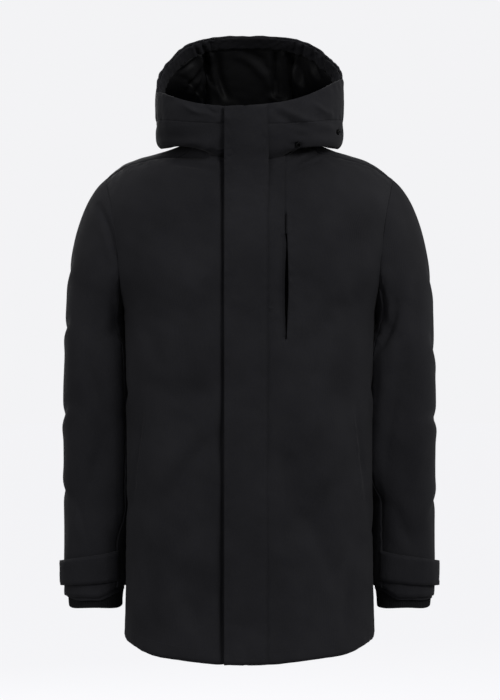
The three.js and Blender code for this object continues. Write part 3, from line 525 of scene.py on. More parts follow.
# The cloth beside the chest pocket's slit: bells in x from the slit, rises in z
SLIT = {
    "inner_lip": (-1, 7, -7.0), "outer_lip": (0, 4, 0.9),
    "seam": (-0.8, 1.4, -1.3), "seam_from": -110,
    "closed": (0, 1.5, -5.0), "closed_top": (-108, -114), "closed_end": (-152, -142),
    "shifted": (-3, 5), "shift_top": (-132, -162), "shift_end": (-308, -288),
    "shift": 5.2, "less_where_open": 2.6,
}
WELT = {"top": (160, -392), "bottom": (181, -572), "stand": -1.2, "sunk": -3.6, "width": 14, "end": 40}
BESIDE_MOUTH = {"sunk": (3, 4, -2.0), "ends": 0.5}
FRONT_HEM = {"low": (-720, -790), "left": (0, 90, 2.0), "sides": (152, 32, -3.6)}
BODY_SIDES = {"full": 1.2, "top": (-260, -320), "end": (-700, -640)}
SLEEVE_HEM = {"z": -704, "low": (-630, -704), "drop": 9, "rise": 16, "inner": (240, 206)}
TOWARDS_BODY = (-260, -320, 2.0)
SLEEVE_FRONT = {"left": (10.0, -570), "right": (7.0, -630), "top": (-250, -340), "fade": 60,
                "corner": 1.5, "inwards": 1.1}
EYELET_HOLES = {"places": [(75, -5), (140, 21)], "radius": 4.4, "depth": 4.4, "steepness": 6, "finer": 7}


def beside_flap(cloth):
    """The cloth sinks beside the front flap's free edge, more at the waist and the hem."""
    x, z = cloth.x, cloth.z
    at = BESIDE_FLAP
    loose = sum(bell(z, *row) for row in at["loose"])
    depth = at["depth"] + at["deeper"] * loose
    depth += at["uneven"] * swell(cloth.points * UP, length=150, seed=8)
    width = np.where(x < at["x"], at["width"] + at["wider"] * loose, at["width_under_flap"])
    return -cloth.facing(FRONT) * bell(x, at["x"], width, depth)


def span_neck(cloth):
    """The flap runs softly over the hollow between the fronts and the collar."""
    low, high, ends = NECK_SPAN["low"], NECK_SPAN["high"], NECK_SPAN["ends"]
    tree = tree_of(cloth.mesh)

    def surface_at(x, z):
        return tree.ray_cast((x, AHEAD, z), (0, 1, 0))[0].y

    for point in cloth.points:
        x, z = np.clip(point[0], *NECK_SPAN["x"]), point[2]
        if low < z < high:
            smooth = sum(share * surface_at(x, z + step) for step, share in NECK_SPAN["smoothing"])
            t = (z - low) / (high - low)
            straight = surface_at(x, low) * (1 - t) + surface_at(x, high) * t
            wanted = smooth + (straight - smooth) * NECK_SPAN["tension"]
            point[1] += (wanted - surface_at(x, z)) * ease(t / ends) * ease((1 - t) / ends)


def flap_edges(cloth):
    """The flap lies flat along its sewn edge, stands off at its free one and shows its press studs."""
    cloth.shift(rise(cloth.x, *FLAP_EDGES["narrower"]))
    x, z = cloth.x, cloth.z
    total = sum(rise(x, *row) for row in [*FLAP_EDGES["sewn"], FLAP_EDGES["free"]])
    total += rise(x, *FLAP_EDGES["uneven"]) * swell(cloth.points * UP, length=70, seed=9)
    for level in PRESS_STUDS["levels"]:
        total += bell(np.hypot(x - PRESS_STUDS["x"], z - level), *PRESS_STUDS["ring"])
    return total


def along_sewn_edge(cloth):
    """The front dips in a narrow groove where the flap is sewn down."""
    return bell(cloth.x, *SEWN_GROOVE) * cloth.facing(FRONT)


def chest_lips(cloth):
    """The slit's inner lip sinks and comes towards it, its other lip stands a little proud."""
    x, z = cloth.x - CHEST_MOUTH["x"], cloth.z
    top, bottom = CHEST_MOUTH["top"], CHEST_MOUTH["bottom"]
    along = np.clip((z - bottom) / (top - bottom), 0, 1)
    open_here = np.sin(math.pi * along ** CHEST_MOUTH["roundness"])
    lips = bell(x, *SLIT["inner_lip"]) * (x < 0) + bell(x, *SLIT["outer_lip"]) * (x >= 0)
    seam = bell(x, *SLIT["seam"]) * (z > SLIT["seam_from"])
    seam += bell(x, *SLIT["closed"]) * rise(z, *SLIT["closed_top"]) * rise(z, *SLIT["closed_end"])
    beside = bell(x, *SLIT["shifted"]) * (x < 0)
    beside *= rise(z, *SLIT["shift_top"]) * rise(z, *SLIT["shift_end"])
    cloth.shift((SLIT["shift"] - SLIT["less_where_open"] * open_here) * beside)
    return open_here * lips + seam


def near_chest_seam(p):
    """Where the left front needs finer faces for the chest pocket's slit and the seam above it."""
    low_x, high_x = CHEST_MOUTH["finer_x"]
    return p.y < 0 and low_x < p.x < high_x and p.z > CHEST_MOUTH["bottom"] - CHEST_MOUTH["finer_below"]


def from_mouth(cloth):
    """How far up a hand pocket's mouth each point is, from 0 to 1, and how far outside its line."""
    (x1, z1), (x0, z0) = WELT["top"], WELT["bottom"]
    t = (cloth.z - z0) / (z1 - z0)
    return t, np.abs(cloth.x) - (x0 + (x1 - x0) * t)


def welt_lies(cloth):
    """Only the pocket mouth's own edge stands up. The rest of the welt sinks into the front."""
    t, outside = from_mouth(cloth)
    from_end = np.minimum(t, 1 - t) * (WELT["top"][1] - WELT["bottom"][1])
    fade = np.maximum(ease(-outside / WELT["width"]), 1 - ease(from_end / WELT["end"]))
    return WELT["stand"] + (WELT["sunk"] - WELT["stand"]) * fade


def pocket_mouth(cloth):
    """The front sinks just beside each hand pocket's mouth."""
    t, outside = from_mouth(cloth)
    fade = np.sin(math.pi * np.clip(t, 0, 1)) ** BESIDE_MOUTH["ends"]
    return bell(outside, *BESIDE_MOUTH["sunk"]) * fade * cloth.facing(FRONT)


def hem_lift(x, share=1.0):
    """How far up a sleeve's hem is: low outside and in front, higher towards the body."""
    return rise(np.abs(x), *SLEEVE_HEM["inner"], share * SLEEVE_HEM["rise"]) - SLEEVE_HEM["drop"]


def hem_falls(cloth):
    """The sleeve's hem hangs lower outside and in front than towards the body."""
    cloth.lift(rise(cloth.z, *SLEEVE_HEM["low"]) * hem_lift(cloth.x))


def neck_root(cloth):
    """The front comes up close under the collar beside the flap."""
    return bell(cloth.z, *NECK_ROOT["z"]) * bell(np.abs(cloth.x), *NECK_ROOT["x"])


def full_sides(cloth):
    """The sides of the body lie up to the sleeves."""
    x, z = cloth.x, cloth.z
    outwards = ease(cloth.out[:, 0] * np.sign(x))
    return BODY_SIDES["full"] * outwards * rise(z, *BODY_SIDES["top"]) * rise(z, *BODY_SIDES["end"])


def front_hem(cloth):
    """The hem stays low further towards the sides, and a little higher on the wearer's left."""
    amount = rise(cloth.x, *FRONT_HEM["left"]) + bell(np.abs(cloth.x), *FRONT_HEM["sides"])
    cloth.lift(rise(cloth.z, *FRONT_HEM["low"]) * amount)


def towards_body(cloth):
    """The side that faces the body lies close to it."""
    return ease(cloth.out[:, 0] * -np.sign(cloth.x)) * rise(cloth.z, *TOWARDS_BODY)


def full_in_front(cloth):
    """The sleeve is full in front towards the body, more so on the wearer's left."""
    x, z = cloth.x, cloth.z
    inwards = -np.sign(x)
    corner = np.clip(cloth.out[:, 0] * inwards, 0, 1) * np.clip(-cloth.out[:, 1], 0, 1) * 2
    most, end = SLEEVE_FRONT["left" if x.mean() > 0 else "right"]
    amount = most * corner ** SLEEVE_FRONT["corner"]
    amount *= rise(z, *SLEEVE_FRONT["top"]) * rise(z, end, end + SLEEVE_FRONT["fade"])
    cloth.shift(inwards * SLEEVE_FRONT["inwards"] * amount)
    return amount


def eyelet_holes(cloth):
    """The cloth drops away into the two cord holes."""
    total = np.zeros(len(cloth.points))
    for x, z in EYELET_HOLES["places"]:
        distance = np.hypot(cloth.x - x, cloth.z - z) / EYELET_HOLES["radius"]
        total -= EYELET_HOLES["depth"] * np.exp(-(distance ** EYELET_HOLES["steepness"]))
    return total * cloth.facing(FRONT)


def near_eyelets(p):
    """Where the collar needs finer faces for the two cord holes."""
    distances = [math.hypot(p.x - x, p.z - z) for x, z in EYELET_HOLES["places"]]
    return p.y < 0 and min(distances) < EYELET_HOLES["finer"]


# The cloths

SHELL_SWELLS = [(1.0, 150, 1), (0.25, 36, 2)]
EVEN_AT_SIDES = 0.85  # how much less uneven the cloth is where it faces sideways
LINING_SWELLS = [(0.7, 60, 3), (0.15, 18, 4)]
# How far behind the lining a cloth is looked for, how far it may sink without one, and what it keeps
LINING_ROOM = {"reach": 30, "free": 1.4, "kept": 0.4}


def shell_cloth(node, levels, middle, folds, edge, soft, shapes):
    """A panel of the outer cloth. A shape gives amounts to push out, or moves the points itself."""
    cloth = Cloth(node, levels, middle, finer=FINER.get(node))
    for shape in shapes:
        amount = shape(cloth)
        if amount is not None:
            cloth.push(amount)
    cloth.push(creases(cloth, folds))
    level = soft * (1 - EVEN_AT_SIDES * cloth.out[:, 0] ** 2)
    cloth.push(level * swells(cloth.points, SHELL_SWELLS))
    cloth.push(puckers(cloth, length=15, height=0.45, reach=14))
    cloth.push(rolled_edge(cloth.from_rim, width=4.5, depth=edge))
    return cloth.finish(SHELL, "shell_fabric")


def room_behind(cloth, nodes):
    """How far each point can sink before it meets the cloth behind it."""
    room = np.full(len(cloth.points), LINING_ROOM["free"])
    for i, (point, out) in enumerate(zip(cloth.points, cloth.out)):
        rays = [cloths[node].tree.ray_cast(Vector(point), Vector(-out), LINING_ROOM["reach"])
                for node in nodes]
        room[i] = min([ray[3] for ray in rays if ray[3] is not None], default=room[i])
    return room


def lining_cloth(node):
    """A quilted panel of the hood's lining, seen from inside."""
    cloth = Cloth(node, 3, HOOD_MIDDLE, seen_from_inside=True)
    amount = creases(cloth, LINING_FOLDS) + rolled_edge(cloth.from_rim, width=9, depth=4.5)
    amount += swells(cloth.points, LINING_SWELLS)
    cloth.push(np.maximum(amount, LINING_ROOM["kept"] - room_behind(cloth, HOOD_PANELS)))
    return cloth.finish(NYLON, "lining_fabric")


def facing_cloth(node):
    """The strip turned in round the hood's opening, gathered by its cord."""
    cloth = Cloth(node, 3, HOOD_MIDDLE, seen_from_inside=True)
    cloth.push(creases(cloth, FACING_FOLDS) + puckers(cloth, length=9, height=0.8, reach=12))
    cloth.push(rolled_edge(cloth.from_rim, width=3, depth=1.0))
    return cloth.finish(SHELL, "shell_fabric")


def plain_cloth(node, levels, slot, uneven, sunk):
    """A dull cloth that lies inside, slightly uneven and a little deeper than its solid."""
    cloth = Cloth(node, levels, BODY_MIDDLE)
    cloth.push(uneven * swell(cloth.points, length=60, seed=6) - sunk)
    return cloth.finish(TRICOT, slot)


# Materials

def linear(code):
    """An sRGB hex colour as linear numbers."""
    parts = [int(code[i:i + 2], 16) / 255 for i in (1, 3, 5)]
    return (*[c / 12.92 if c <= 0.04045 else ((c + 0.055) / 1.055) ** 2.4 for c in parts], 1)


def add(tree, kind, settings=(), links=()):
    """Adds a node with its settings and the sockets that lead into it."""
    made = tree.nodes.new(kind)
    for name, value in dict(settings).items():
        if hasattr(made, str(name)):
            setattr(made, name, value)
        else:
            made.inputs[name].default_value = value
    for name, source in dict(links).items():
        tree.links.new(source, made.inputs[name])
    return made


def surface(name, settings):
    """A new material with its shader set. Gives its tree, shader and the object's own coordinates."""
    material = bpy.data.materials.new(name)
    material.use_nodes = True
    tree = material.node_tree
    shader = tree.nodes["Principled BSDF"]
    for socket, value in settings.items():
        shader.inputs[socket].default_value = value
    place = add(tree, "ShaderNodeTexCoord").outputs["Object"]
    return material, tree, shader, place


def per_mm(size):
    """The scale of a texture whose cells are that many mm wide."""
    return 1000 / size


def bands(size):
    """The scale of a wave texture whose bands are that many mm apart."""
    return per_mm(size) * 2 * math.pi / 20


def threads(tree, place, size):
    """Crossing threads a given distance apart, in mm, as a height."""
    height = None
    for axis in ("X", "Y", "Z"):
        wave = add(tree, "ShaderNodeTexWave", {
            "bands_direction": axis, "Scale": bands(size), "Distortion": 0.8, "Detail": 1.0,
            "Detail Scale": 2.0}, {"Vector": place})
        if height is None:
            height = wave.outputs["Fac"]
        else:
            height = add(tree, "ShaderNodeMath", {"operation": "ADD"},
                         {0: height, 1: wave.outputs["Fac"]}).outputs[0]
    return height


def noise(tree, place, size, detail):
    """Noise whose cells are that many mm wide, from 0 to 1."""
    return add(tree, "ShaderNodeTexNoise", {"Scale": per_mm(size), "Detail": detail},
               {"Vector": place}).outputs["Fac"]


def tint(tree, shader, value, dark, light, start=0.0):
    """Colours a surface by a value, from dark at the start to light at 1."""
    colour = add(tree, "ShaderNodeValToRGB", {}, {0: value})
    colour.color_ramp.elements[0].position = start
    colour.color_ramp.elements[0].color = linear(dark)
    colour.color_ramp.elements[1].color = linear(light)
    tree.links.new(colour.outputs[0], shader.inputs["Base Color"])


def raise_by(tree, shader, height, strength, distance):
    """Roughens a surface by a height from 0 to 1. The distance is in mm."""
    bump = add(tree, "ShaderNodeBump", {"Strength": strength, "Distance": distance * MM},
               {"Height": height})
    tree.links.new(bump.outputs[0], shader.inputs["Normal"])


def matt_woven_polyester():
    """Close-woven polyester with a brushed face: matt, with a faint fleck and a soft light edge."""
    material, tree, shader, place = surface("matt woven polyester", {
        "Roughness": 0.82, "Specular IOR Level": 0.12, "Sheen Weight": 0.03, "Sheen Roughness": 0.45})
    both = add(tree, "ShaderNodeMath", {"operation": "MULTIPLY_ADD", 1: 0.5},
               {0: noise(tree, place, 2.2, 3.0), 2: noise(tree, place, 90, 2.0)})
    tint(tree, shader, both.outputs[0], "#17171a", "#212124", start=0.5)
    # The threads are 0.4 mm apart in the real cloth and drawn 1.6 mm apart, to show at all
    raise_by(tree, shader, threads(tree, place, 1.6), 0.3, 0.3)
    return material


def nylon_taffeta_with_painted_shade():
    """Calendered nylon taffeta: thin, smooth and half shiny, finely wrinkled over its filling. Its
    colour carries painted shade deep in the hood.
    """
    material, tree, shader, place = surface("nylon taffeta", {
        "Roughness": 0.5, "Specular IOR Level": 0.06})
    # Painted shade: the lining's colour is darker lower down, deep in the hood, as in the photo, where
    # hardly any light gets down there
    height = add(tree, "ShaderNodeSeparateXYZ", {}, {"Vector": place}).outputs["Z"]
    depth = add(tree, "ShaderNodeMapRange", {"From Min": 0.1, "From Max": 0.165}, {"Value": height})
    tint(tree, shader, depth.outputs[0], "#020203", "#1e1e1f")
    raise_by(tree, shader, noise(tree, place, 16, 3.0), 0.25, 1.0)
    return material


def rib_knit():
    """Acrylic rib knit: matt and soft, with loops along each rib."""
    material, tree, shader, place = surface("acrylic rib knit", {
        "Roughness": 0.95, "Specular IOR Level": 0.1, "Base Color": linear("#121214"),
        "Sheen Weight": 0.04})
    # The loops are 1.2 mm high in the real knit and drawn 2 mm high
    loops = add(tree, "ShaderNodeTexWave", {
        "bands_direction": "Z", "Scale": bands(2), "Distortion": 1.5}, {"Vector": place})
    raise_by(tree, shader, loops.outputs["Fac"], 0.5, 0.4)
    return material


def brushed_tricot():
    """Warp-knitted polyester, brushed: the dull black cloth of the pocket bag and the zip's tape."""
    material, tree, shader, place = surface("brushed tricot", {
        "Roughness": 0.95, "Specular IOR Level": 0.05})
    fuzz = noise(tree, place, 1.5, 3.0)
    tint(tree, shader, fuzz, "#030304", "#0a0a0b")
    raise_by(tree, shader, fuzz, 0.3, 0.3)
    return material


def plain(name, roughness, shine, colour):
    """A material of one even tone."""
    return surface(name, {
        "Roughness": roughness, "Specular IOR Level": shine, "Base Color": linear(colour)})[0]


SHELL = matt_woven_polyester()
NYLON = nylon_taffeta_with_painted_shade()
KNIT = rib_knit()
TRICOT = brushed_tricot()
TEETH = plain("moulded acetal", 0.4, 0.4, "#101012")  # half gloss
ENAMEL = plain("black enamel on brass", 0.45, 0.14, "#050506")  # baked on, half matt
THREAD = plain("polyester thread", 0.6, 0.2, "#1c1c1f")  # spun, dyed to the cloth


# The panels

FRONT_SHAPES = [pocket_mouth, neck_root, full_sides, front_hem]
# Each row is a solid, how often its faces are halved, its middle, its folds, how deep its edges dip,
# how uneven it is, and what else shapes it
PANELS = [
    ("front_right", 3, BODY_MIDDLE, BODY_FOLDS, 1.4, 1.0, [beside_flap, *FRONT_SHAPES]),
    ("back", 2, BODY_MIDDLE, BODY_FOLDS, 1.4, 1.0, [full_sides]),
    ("hood_right", 3, HOOD_MIDDLE, HOOD_FOLDS, 0.4, 0.6, [beside_flap]),
    ("hood_centre", 2, HOOD_MIDDLE, HOOD_FOLDS, 0.8, 0.6, []),
    ("hood_left", 3, HOOD_MIDDLE, HOOD_FOLDS, 0.4, 0.6, []),
    ("placket", 3, BODY_MIDDLE, {}, 0.8, 0.7, [span_neck, flap_edges]),
    ("front_left", 3, BODY_MIDDLE, BODY_FOLDS, 1.4, 1.0, [chest_lips, along_sewn_edge, *FRONT_SHAPES]),
    ("collar", 2, (0, 0), HOOD_FOLDS, 0.4, 0.6, [beside_flap, neck_root, eyelet_holes]),
]
for side, middle in SLEEVES:
    PANELS += [
        (f"sleeve_top_{side}", 3, middle, SLEEVE_FOLDS, 0.5, 0.7, [hem_falls, full_in_front]),
        (f"sleeve_under_{side}", 3, middle, SLEEVE_FOLDS, 0.4, 0.4,
         [hem_falls, towards_body, full_in_front]),
        (f"hand_pocket_welt_{side}", 2, BODY_MIDDLE, BODY_FOLDS, 0.6, 1.0, [welt_lies]),
        (f"cuff_strap_{side}", 2, middle, {}, 1.0, 0.4, []),
    ]
FINER = {"front_left": near_chest_seam, "collar": near_eyelets}
HOOD_PANELS = ["hood_right", "hood_centre", "hood_left", "collar"]
LINING_PANELS = ["lining_right", "lining_centre", "lining_left"]

cloths = {}
for row in PANELS:
    cloths[row[0]] = shell_cloth(*row)
for node in LINING_PANELS:
    cloths[node] = lining_cloth(node)
cloths["hood_facing"] = facing_cloth("hood_facing")
cloths["chest_pocket_bag"] = plain_cloth("chest_pocket_bag", 2, "lining_fabric", uneven=0.8, sunk=6)
cloths["zip_tape"] = plain_cloth("zip_tape", 1, "zip", uneven=0, sunk=0)


# Cuffs: ribbed knit tubes inside the sleeves, and the turned-up facing of each sleeve's hem

def tube(name, middle, profile, steps):
    """A closed wall all round an upright line. The profile is a loop of radius and height, in mm."""
    bm = bmesh.new()
    x, y = middle
    corners = [bm.verts.new(((x + radius) * MM, y * MM, z * MM)) for radius, z in profile]
    loop = [bm.edges.new(pair) for pair in zip(corners, corners[1:] + corners[:1])]
    bmesh.ops.spin(bm, geom=corners + loop, cent=(x * MM, y * MM, 0), axis=(0, 0, 1),
                   angle=2 * math.pi, steps=steps, use_merge=True)
    bmesh.ops.recalc_face_normals(bm, faces=bm.faces)
    return mesh_of(name, bm)


def around(points, middle):
    """The angle of each point round an upright line, and the level way out from it."""
    across = points[:, :2] - middle
    angle = np.arctan2(across[:, 1], across[:, 0])
    return angle, np.stack([np.cos(angle), np.sin(angle), np.zeros(len(angle))], axis=1)


RIB_CUFF = {"ribs": 72, "steps_per_rib": 6, "height": 0.5, "wall": 2.2, "uneven": 0.6,
            "oval": (-700, -728, 1.6), "wavy": (-715, -727, 1.2)}
RIB_PROFILE = [(44.6, -688), (44.2, -696), (43.4, -704), (42.4, -712), (41.6, -720), (41.2, -727),
               (40.9, -730.5), (40.1, -731.6), (39.2, -730.6)]
HEM_FACING = {"steps": 160, "low": (-690, -704), "rise_share": 0.8}
HEM_FACING_PROFILE = [(46.0, -686), (46.1, -700), (46.2, -708), (45.6, -709), (45.0, -708), (44.8, -686)]


def rib_cuff(side, middle):
    """Fine ribs round a soft tube that leans in towards the wrist."""
    inner = [(r - RIB_CUFF["wall"], z) for r, z in reversed(RIB_PROFILE[:-2])]
    steps = RIB_CUFF["steps_per_rib"] * RIB_CUFF["ribs"]
    mesh = tube(f"rib_cuff_{side}_knit", middle, RIB_PROFILE + inner, steps)
    points = vectors(mesh.vertices, "co") / MM
    angle, out = around(points, middle)
    soft = np.sin(2 * angle + 1) * rise(points[:, 2], *RIB_CUFF["oval"])
    soft += RIB_CUFF["uneven"] * swell(points, length=34, seed=7)
    ribs = RIB_CUFF["height"] * np.cos(RIB_CUFF["ribs"] * angle)
    points += out * (soft + ribs)[:, None]
    points[:, 2] += np.sin(3 * angle) * rise(points[:, 2], *RIB_CUFF["wavy"])
    mesh.vertices.foreach_set("co", (points * MM).ravel())
    return placed(mesh.name, mesh, KNIT, "rib_knit", f"rib_cuff_{side}")


def hem_facing(side, middle):
    """The sleeve's hem is turned up inside and shows a little below the outer edge."""
    mesh = tube(f"sleeve_hem_facing_{side}", middle, HEM_FACING_PROFILE, HEM_FACING["steps"])
    points = vectors(mesh.vertices, "co") / MM
    low = rise(points[:, 2], *HEM_FACING["low"])
    points[:, 2] += low * hem_lift(points[:, 0], HEM_FACING["rise_share"])
    points[:, 2] += low * swell(points * (1, 1, 0), length=50, seed=11)
    mesh.vertices.foreach_set("co", (points * MM).ravel())
    return placed(mesh.name, mesh, SHELL, "shell_fabric")


pieces = {node: cloth.piece for node, cloth in cloths.items()}
for side, middle in SLEEVES:
    pieces[f"rib_cuff_{side}"] = rib_cuff(side, middle)
    pieces[f"sleeve_hem_facing_{side}"] = hem_facing(side, middle)


# Small parts: zip teeth, eyelets and stitches, each a joined mesh of one small shape

def small_shape(make):
    """The corners and faces of a small shape, in mm, as arrays."""
    bm = bmesh.new()
    make(bm)
    bm.verts.index_update()
    corners = np.array([v.co for v in bm.verts])
    faces = [[v.index for v in f.verts] for f in bm.faces]
    bm.free()
    return corners, faces


def joined(name, shape, places, material, slot, *nodes):
    """Copies a shape to each place. A place is a point in mm and three ways: along, across and out."""
    corners, faces = shape
    points = [np.array(at) + corners @ np.array(ways) for at, ways in places]
    every_face = [[i + n * len(corners) for i in face] for n in range(len(places)) for face in faces]
    mesh = bpy.data.meshes.new(name)
    mesh.from_pydata(np.concatenate(points) * MM, [], every_face)
    return placed(name, mesh, material, slot, *nodes)


# Sizes along, across and out, in mm
STITCH = {"half_size": (1.35, 0.3, 0.24), "pitch": 3.4}
TOOTH = {"size": (2.6, 1.5, 1.9), "bevel": 0.3}


def stitch_shape(bm):
    """A short length of thread, rounded at its ends."""
    bmesh.ops.create_icosphere(bm, subdivisions=1, radius=1)
    bmesh.ops.scale(bm, verts=bm.verts, vec=STITCH["half_size"])


def tooth_shape(bm):
    """A block with bevelled edges."""
    bmesh.ops.create_cube(bm, size=1)
    bmesh.ops.scale(bm, verts=bm.verts, vec=TOOTH["size"])
    bmesh.ops.bevel(bm, geom=bm.verts[:] + bm.edges[:], offset=TOOTH["bevel"], offset_type="OFFSET",
                    segments=1, profile=0.5, affect="EDGES", material=-1)


def seam_places(cloth, rays):
    """Where a row of stitches lies on the cloth, below a line of rays in mm."""
    hits = []
    for start, way in rays:
        point, normal, _, _ = cloth.tree.ray_cast(Vector(start), Vector(way))
        if point:
            hits.append((np.array(point), np.array(normal)))
    places = []
    carried = 0.0
    for (p0, n0), (p1, n1) in zip(hits, hits[1:]):
        step = np.linalg.norm(p1 - p0)
        while carried < step:
            t = carried / step
            normal = n0 + (n1 - n0) * t
            normal /= np.linalg.norm(normal)
            along = np.cross(np.cross(normal, p1 - p0), normal)
            along /= np.linalg.norm(along)
            places.append((p0 + (p1 - p0) * t, (along, np.cross(normal, along), normal)))
            carried += STITCH["pitch"]
        carried -= step
    return places


def front_rays(points, steps=80):
    """Rays from the front through a line of x and z."""
    rays = []
    for (x0, z0), (x1, z1) in zip(points, points[1:]):
        for t in np.linspace(0, 1, steps):
            rays.append(((x0 + (x1 - x0) * t, AHEAD, z0 + (z1 - z0) * t), (0, 1, 0)))
    return rays


# Half width and half depth of the body and of a sleeve at their hems, in mm
BODY_SECTION = (201, 145)
SLEEVE_SECTION = (50, 49)
BODY_HEM_STITCHES = {"lowest": -778, "rise": 26, "curve": 2.4}
SLEEVE_STITCHES_UP = 14  # mm from the hem
RAYS_OUTSIDE = 100  # mm from the section to where its rays start


def ring_rays(middle, section, height):
    """Level rays inwards, all round a section. The height is a function of x."""
    rays = []
    for angle in np.radians(np.arange(0, 361, 2)):
        out = np.array((math.cos(angle), math.sin(angle), 0))
        x, y = middle[0] + section[0] * out[0], middle[1] + section[1] * out[1]
        start = (x + RAYS_OUTSIDE * out[0], y + RAYS_OUTSIDE * out[1], height(x))
        rays.append((start, tuple(-out)))
    return rays


def body_hem(x):
    """The height of the stitches round the body's hem, which is lowest in the middle."""
    curve = (abs(x) / BODY_SECTION[0]) ** BODY_HEM_STITCHES["curve"]
    return BODY_HEM_STITCHES["lowest"] + BODY_HEM_STITCHES["rise"] * curve


def sleeve_hem(x):
    """The height of the stitches round a sleeve's hem."""
    return SLEEVE_HEM["z"] + hem_lift(x) + SLEEVE_STITCHES_UP


def strap_line(x):
    """An upright line of stitches across a cuff strap."""
    return front_rays([(x, -646), (x, -684)])


# Each row is the cloth that the stitches are in and the rays that find their line
SEAMS = [
    ("front_right", ring_rays(BODY_MIDDLE, BODY_SECTION, body_hem)),
    ("front_left", ring_rays(BODY_MIDDLE, BODY_SECTION, body_hem)),
    ("back", ring_rays(BODY_MIDDLE, BODY_SECTION, body_hem)),
    ("placket", front_rays([(-36, -792), (-36, 44)], 200)),
    ("placket", front_rays([(-36, -790), (22, -790)])),
    ("front_left", front_rays([(63, -110), (63, -306)])),
    ("front_left", front_rays([(48.5, -110), (48.5, -306)])),
]
for side, middle in SLEEVES:
    sign = math.copysign(1, middle[0])
    SEAMS += [
        (f"hand_pocket_welt_{side}", front_rays([(sign * 155, -396), (sign * 176, -568)])),
        (f"cuff_strap_{side}", strap_line(sign * 217)),
        (f"cuff_strap_{side}", strap_line(sign * 219.5)),
        (f"sleeve_top_{side}", ring_rays(middle, SLEEVE_SECTION, sleeve_hem)),
        (f"sleeve_under_{side}", ring_rays(middle, SLEEVE_SECTION, sleeve_hem)),
    ]

stitch_places = []
for node, rays in SEAMS:
    stitch_places += seam_places(cloths[node], rays)
joined("stitches", small_shape(stitch_shape), stitch_places, THREAD, "shell_fabric")


# Zip: moulded teeth in two meshing rows, where the solid chain lies

# Heights at the ends of the chain that stay free, and how far round a tooth the chain's depth is taken
ZIP = {"x": -6, "apart": 0.9, "step": 1.4, "ends": 2, "near": 45}


def zip_teeth():
    """Teeth of a 2.8 mm pitch, the left and right ones by turns, each at its height on the chain."""
    chain = vectors(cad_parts["zip_chain"].data.vertices, "co") / MM
    order = np.argsort(chain[:, 2])
    z, y = chain[order, 2], chain[order, 1]
    places = []
    for i, height in enumerate(np.arange(z[0] + ZIP["ends"], z[-1] - ZIP["ends"], ZIP["step"])):
        side = 1 if i % 2 else -1
        near = np.abs(z - height) < ZIP["near"]
        level = np.interp(height, z[near], y[near]) if near.any() else y.mean()
        at = (ZIP["x"] + side * ZIP["apart"], level, height)
        places.append((at, (np.array((side, 0, 0)), FRONT, UP)))
    return joined("zip_teeth", small_shape(tooth_shape), places, TEETH, "zip", "zip_chain")


# Eyelets: rolled rings, each on its solid's own axis

EYELET = {"steps": 48, "sunk": 1.1}
EYELET_PROFILE = [
    (0.05, -2.6), (2.9, -2.6), (2.9, 0.4), (3.1, 0.6), (3.5, 0.7), (3.9, 0.6), (4.2, 0.2), (4.2, -3.0),
    (0.05, -3.0)]


def eyelet(node):
    """A smooth ring in place of the solid one."""
    points = vectors(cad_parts[node].data.vertices, "co") / MM
    middle = (points.min(axis=0) + points.max(axis=0)) / 2
    axis = np.linalg.svd(points - points.mean(axis=0))[2][2]
    axis *= np.sign(-axis[1])
    mesh = tube(node + "_ring", (0, 0), EYELET_PROFILE, EYELET["steps"])
    turn = Vector(UP).rotation_difference(Vector(axis)).to_matrix().to_4x4()
    place = Matrix.Translation(Vector(middle - axis * EYELET["sunk"]) * MM)
    mesh.transform(place @ turn)
    return placed(node + "_ring", mesh, ENAMEL, "eyelet_metal", node)


zip_teeth()
for node in ("hood_eyelet_front", "hood_eyelet_side"):
    eyelet(node)


# Studio

# Lengths in metres, power in watts
PALE = "#f3f3f5"
FLOOR = {"radius": 30, "z": -1.6, "colour": "#8c8c8e", "glow": 0.87}
SURROUND = {"seen": 1.0, "lighting": 0.5}
CAMERA = {"place": (0.0008, -3.0, -0.32), "lens": 96.43, "sensor": 36}
# Each row is a lamp's name, its place, the point that it is turned to, its size and its power
LAMPS = [
    ("key", (1.8, -2.7, 1.4), (0, 0, -0.3), 1.3, 56),
    ("fill", (-2.4, -2.4, 0.3), (0, 0, -0.3), 2.2, 26),
    ("top", (0, 0.2, 3.0), (0, 0, -0.3), 2.0, 12),
    ("rim", (2.6, 0.8, 0.2), (0.2, 0, -0.4), 1.2, 9),
    ("back", (-1.2, 3.2, 1.2), (0, 0, -0.3), 2.4, 46),
]


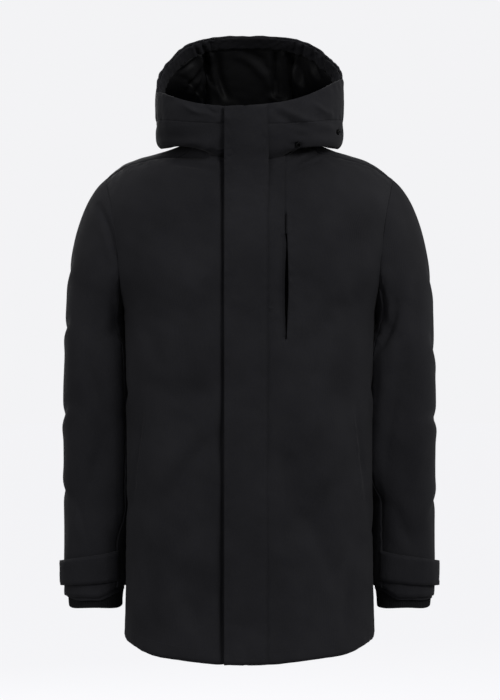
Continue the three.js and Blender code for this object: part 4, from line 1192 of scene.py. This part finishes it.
def pale_floor():
    """A round floor of paper, far below."""
    bm = bmesh.new()
    bmesh.ops.create_circle(bm, cap_ends=True, segments=96, radius=FLOOR["radius"])
    bmesh.ops.translate(bm, verts=bm.verts, vec=(0, 0, FLOOR["z"]))
    floor = in_scene("floor", mesh_of("floor", bm))
    paper, tree, shader, _ = surface("pale paper", {
        "Base Color": linear(FLOOR["colour"]), "Roughness": 0.9, "Specular IOR Level": 0.0,
        "Emission Color": linear(PALE)})
    # The paper glows for the eye alone, so that it doesn't light the parka from below
    seen = add(tree, "ShaderNodeLightPath")
    glow = add(tree, "ShaderNodeMath", {"operation": "MULTIPLY", 1: FLOOR["glow"]},
               {0: seen.outputs["Is Camera Ray"]})
    tree.links.new(glow.outputs[0], shader.inputs["Emission Strength"])
    floor.data.materials.append(paper)


def pale_surround():
    """An even pale surround, brighter to the eye than it lights."""
    world = bpy.data.worlds.new("surround")
    bpy.context.scene.world = world
    world.use_nodes = True
    tree = world.node_tree
    shown = tree.nodes["Background"]
    shown.inputs["Color"].default_value = linear(PALE)
    shown.inputs["Strength"].default_value = SURROUND["seen"]
    lighting = add(tree, "ShaderNodeBackground", {
        "Color": linear(PALE), "Strength": SURROUND["lighting"]})
    ray = add(tree, "ShaderNodeLightPath")
    mixed = add(tree, "ShaderNodeMixShader", {}, {
        0: ray.outputs["Is Camera Ray"], 1: lighting.outputs[0], 2: shown.outputs[0]})
    tree.links.new(mixed.outputs[0], tree.nodes["World Output"].inputs["Surface"])


def soft_light(name, place, aim, size, power):
    """A large square lamp turned towards a point."""
    lamp = bpy.data.lights.new(name, "AREA")
    lamp.size = size
    lamp.energy = power
    light = in_scene(name, lamp)
    light.location = place
    light.rotation_euler = (Vector(aim) - Vector(place)).to_track_quat("-Z", "Y").to_euler()


def camera():
    """Looks level at the middle of the parka from three metres in front."""
    lens = bpy.data.cameras.new("camera")
    lens.lens = CAMERA["lens"]
    lens.sensor_width = CAMERA["sensor"]
    eye = in_scene("camera", lens)
    eye.location = CAMERA["place"]
    eye.rotation_euler = (math.pi / 2, 0, 0)
    bpy.context.scene.camera = eye


pale_floor()
pale_surround()
for row in LAMPS:
    soft_light(*row)
camera()
bpy.context.scene.view_settings.view_transform = "Standard"
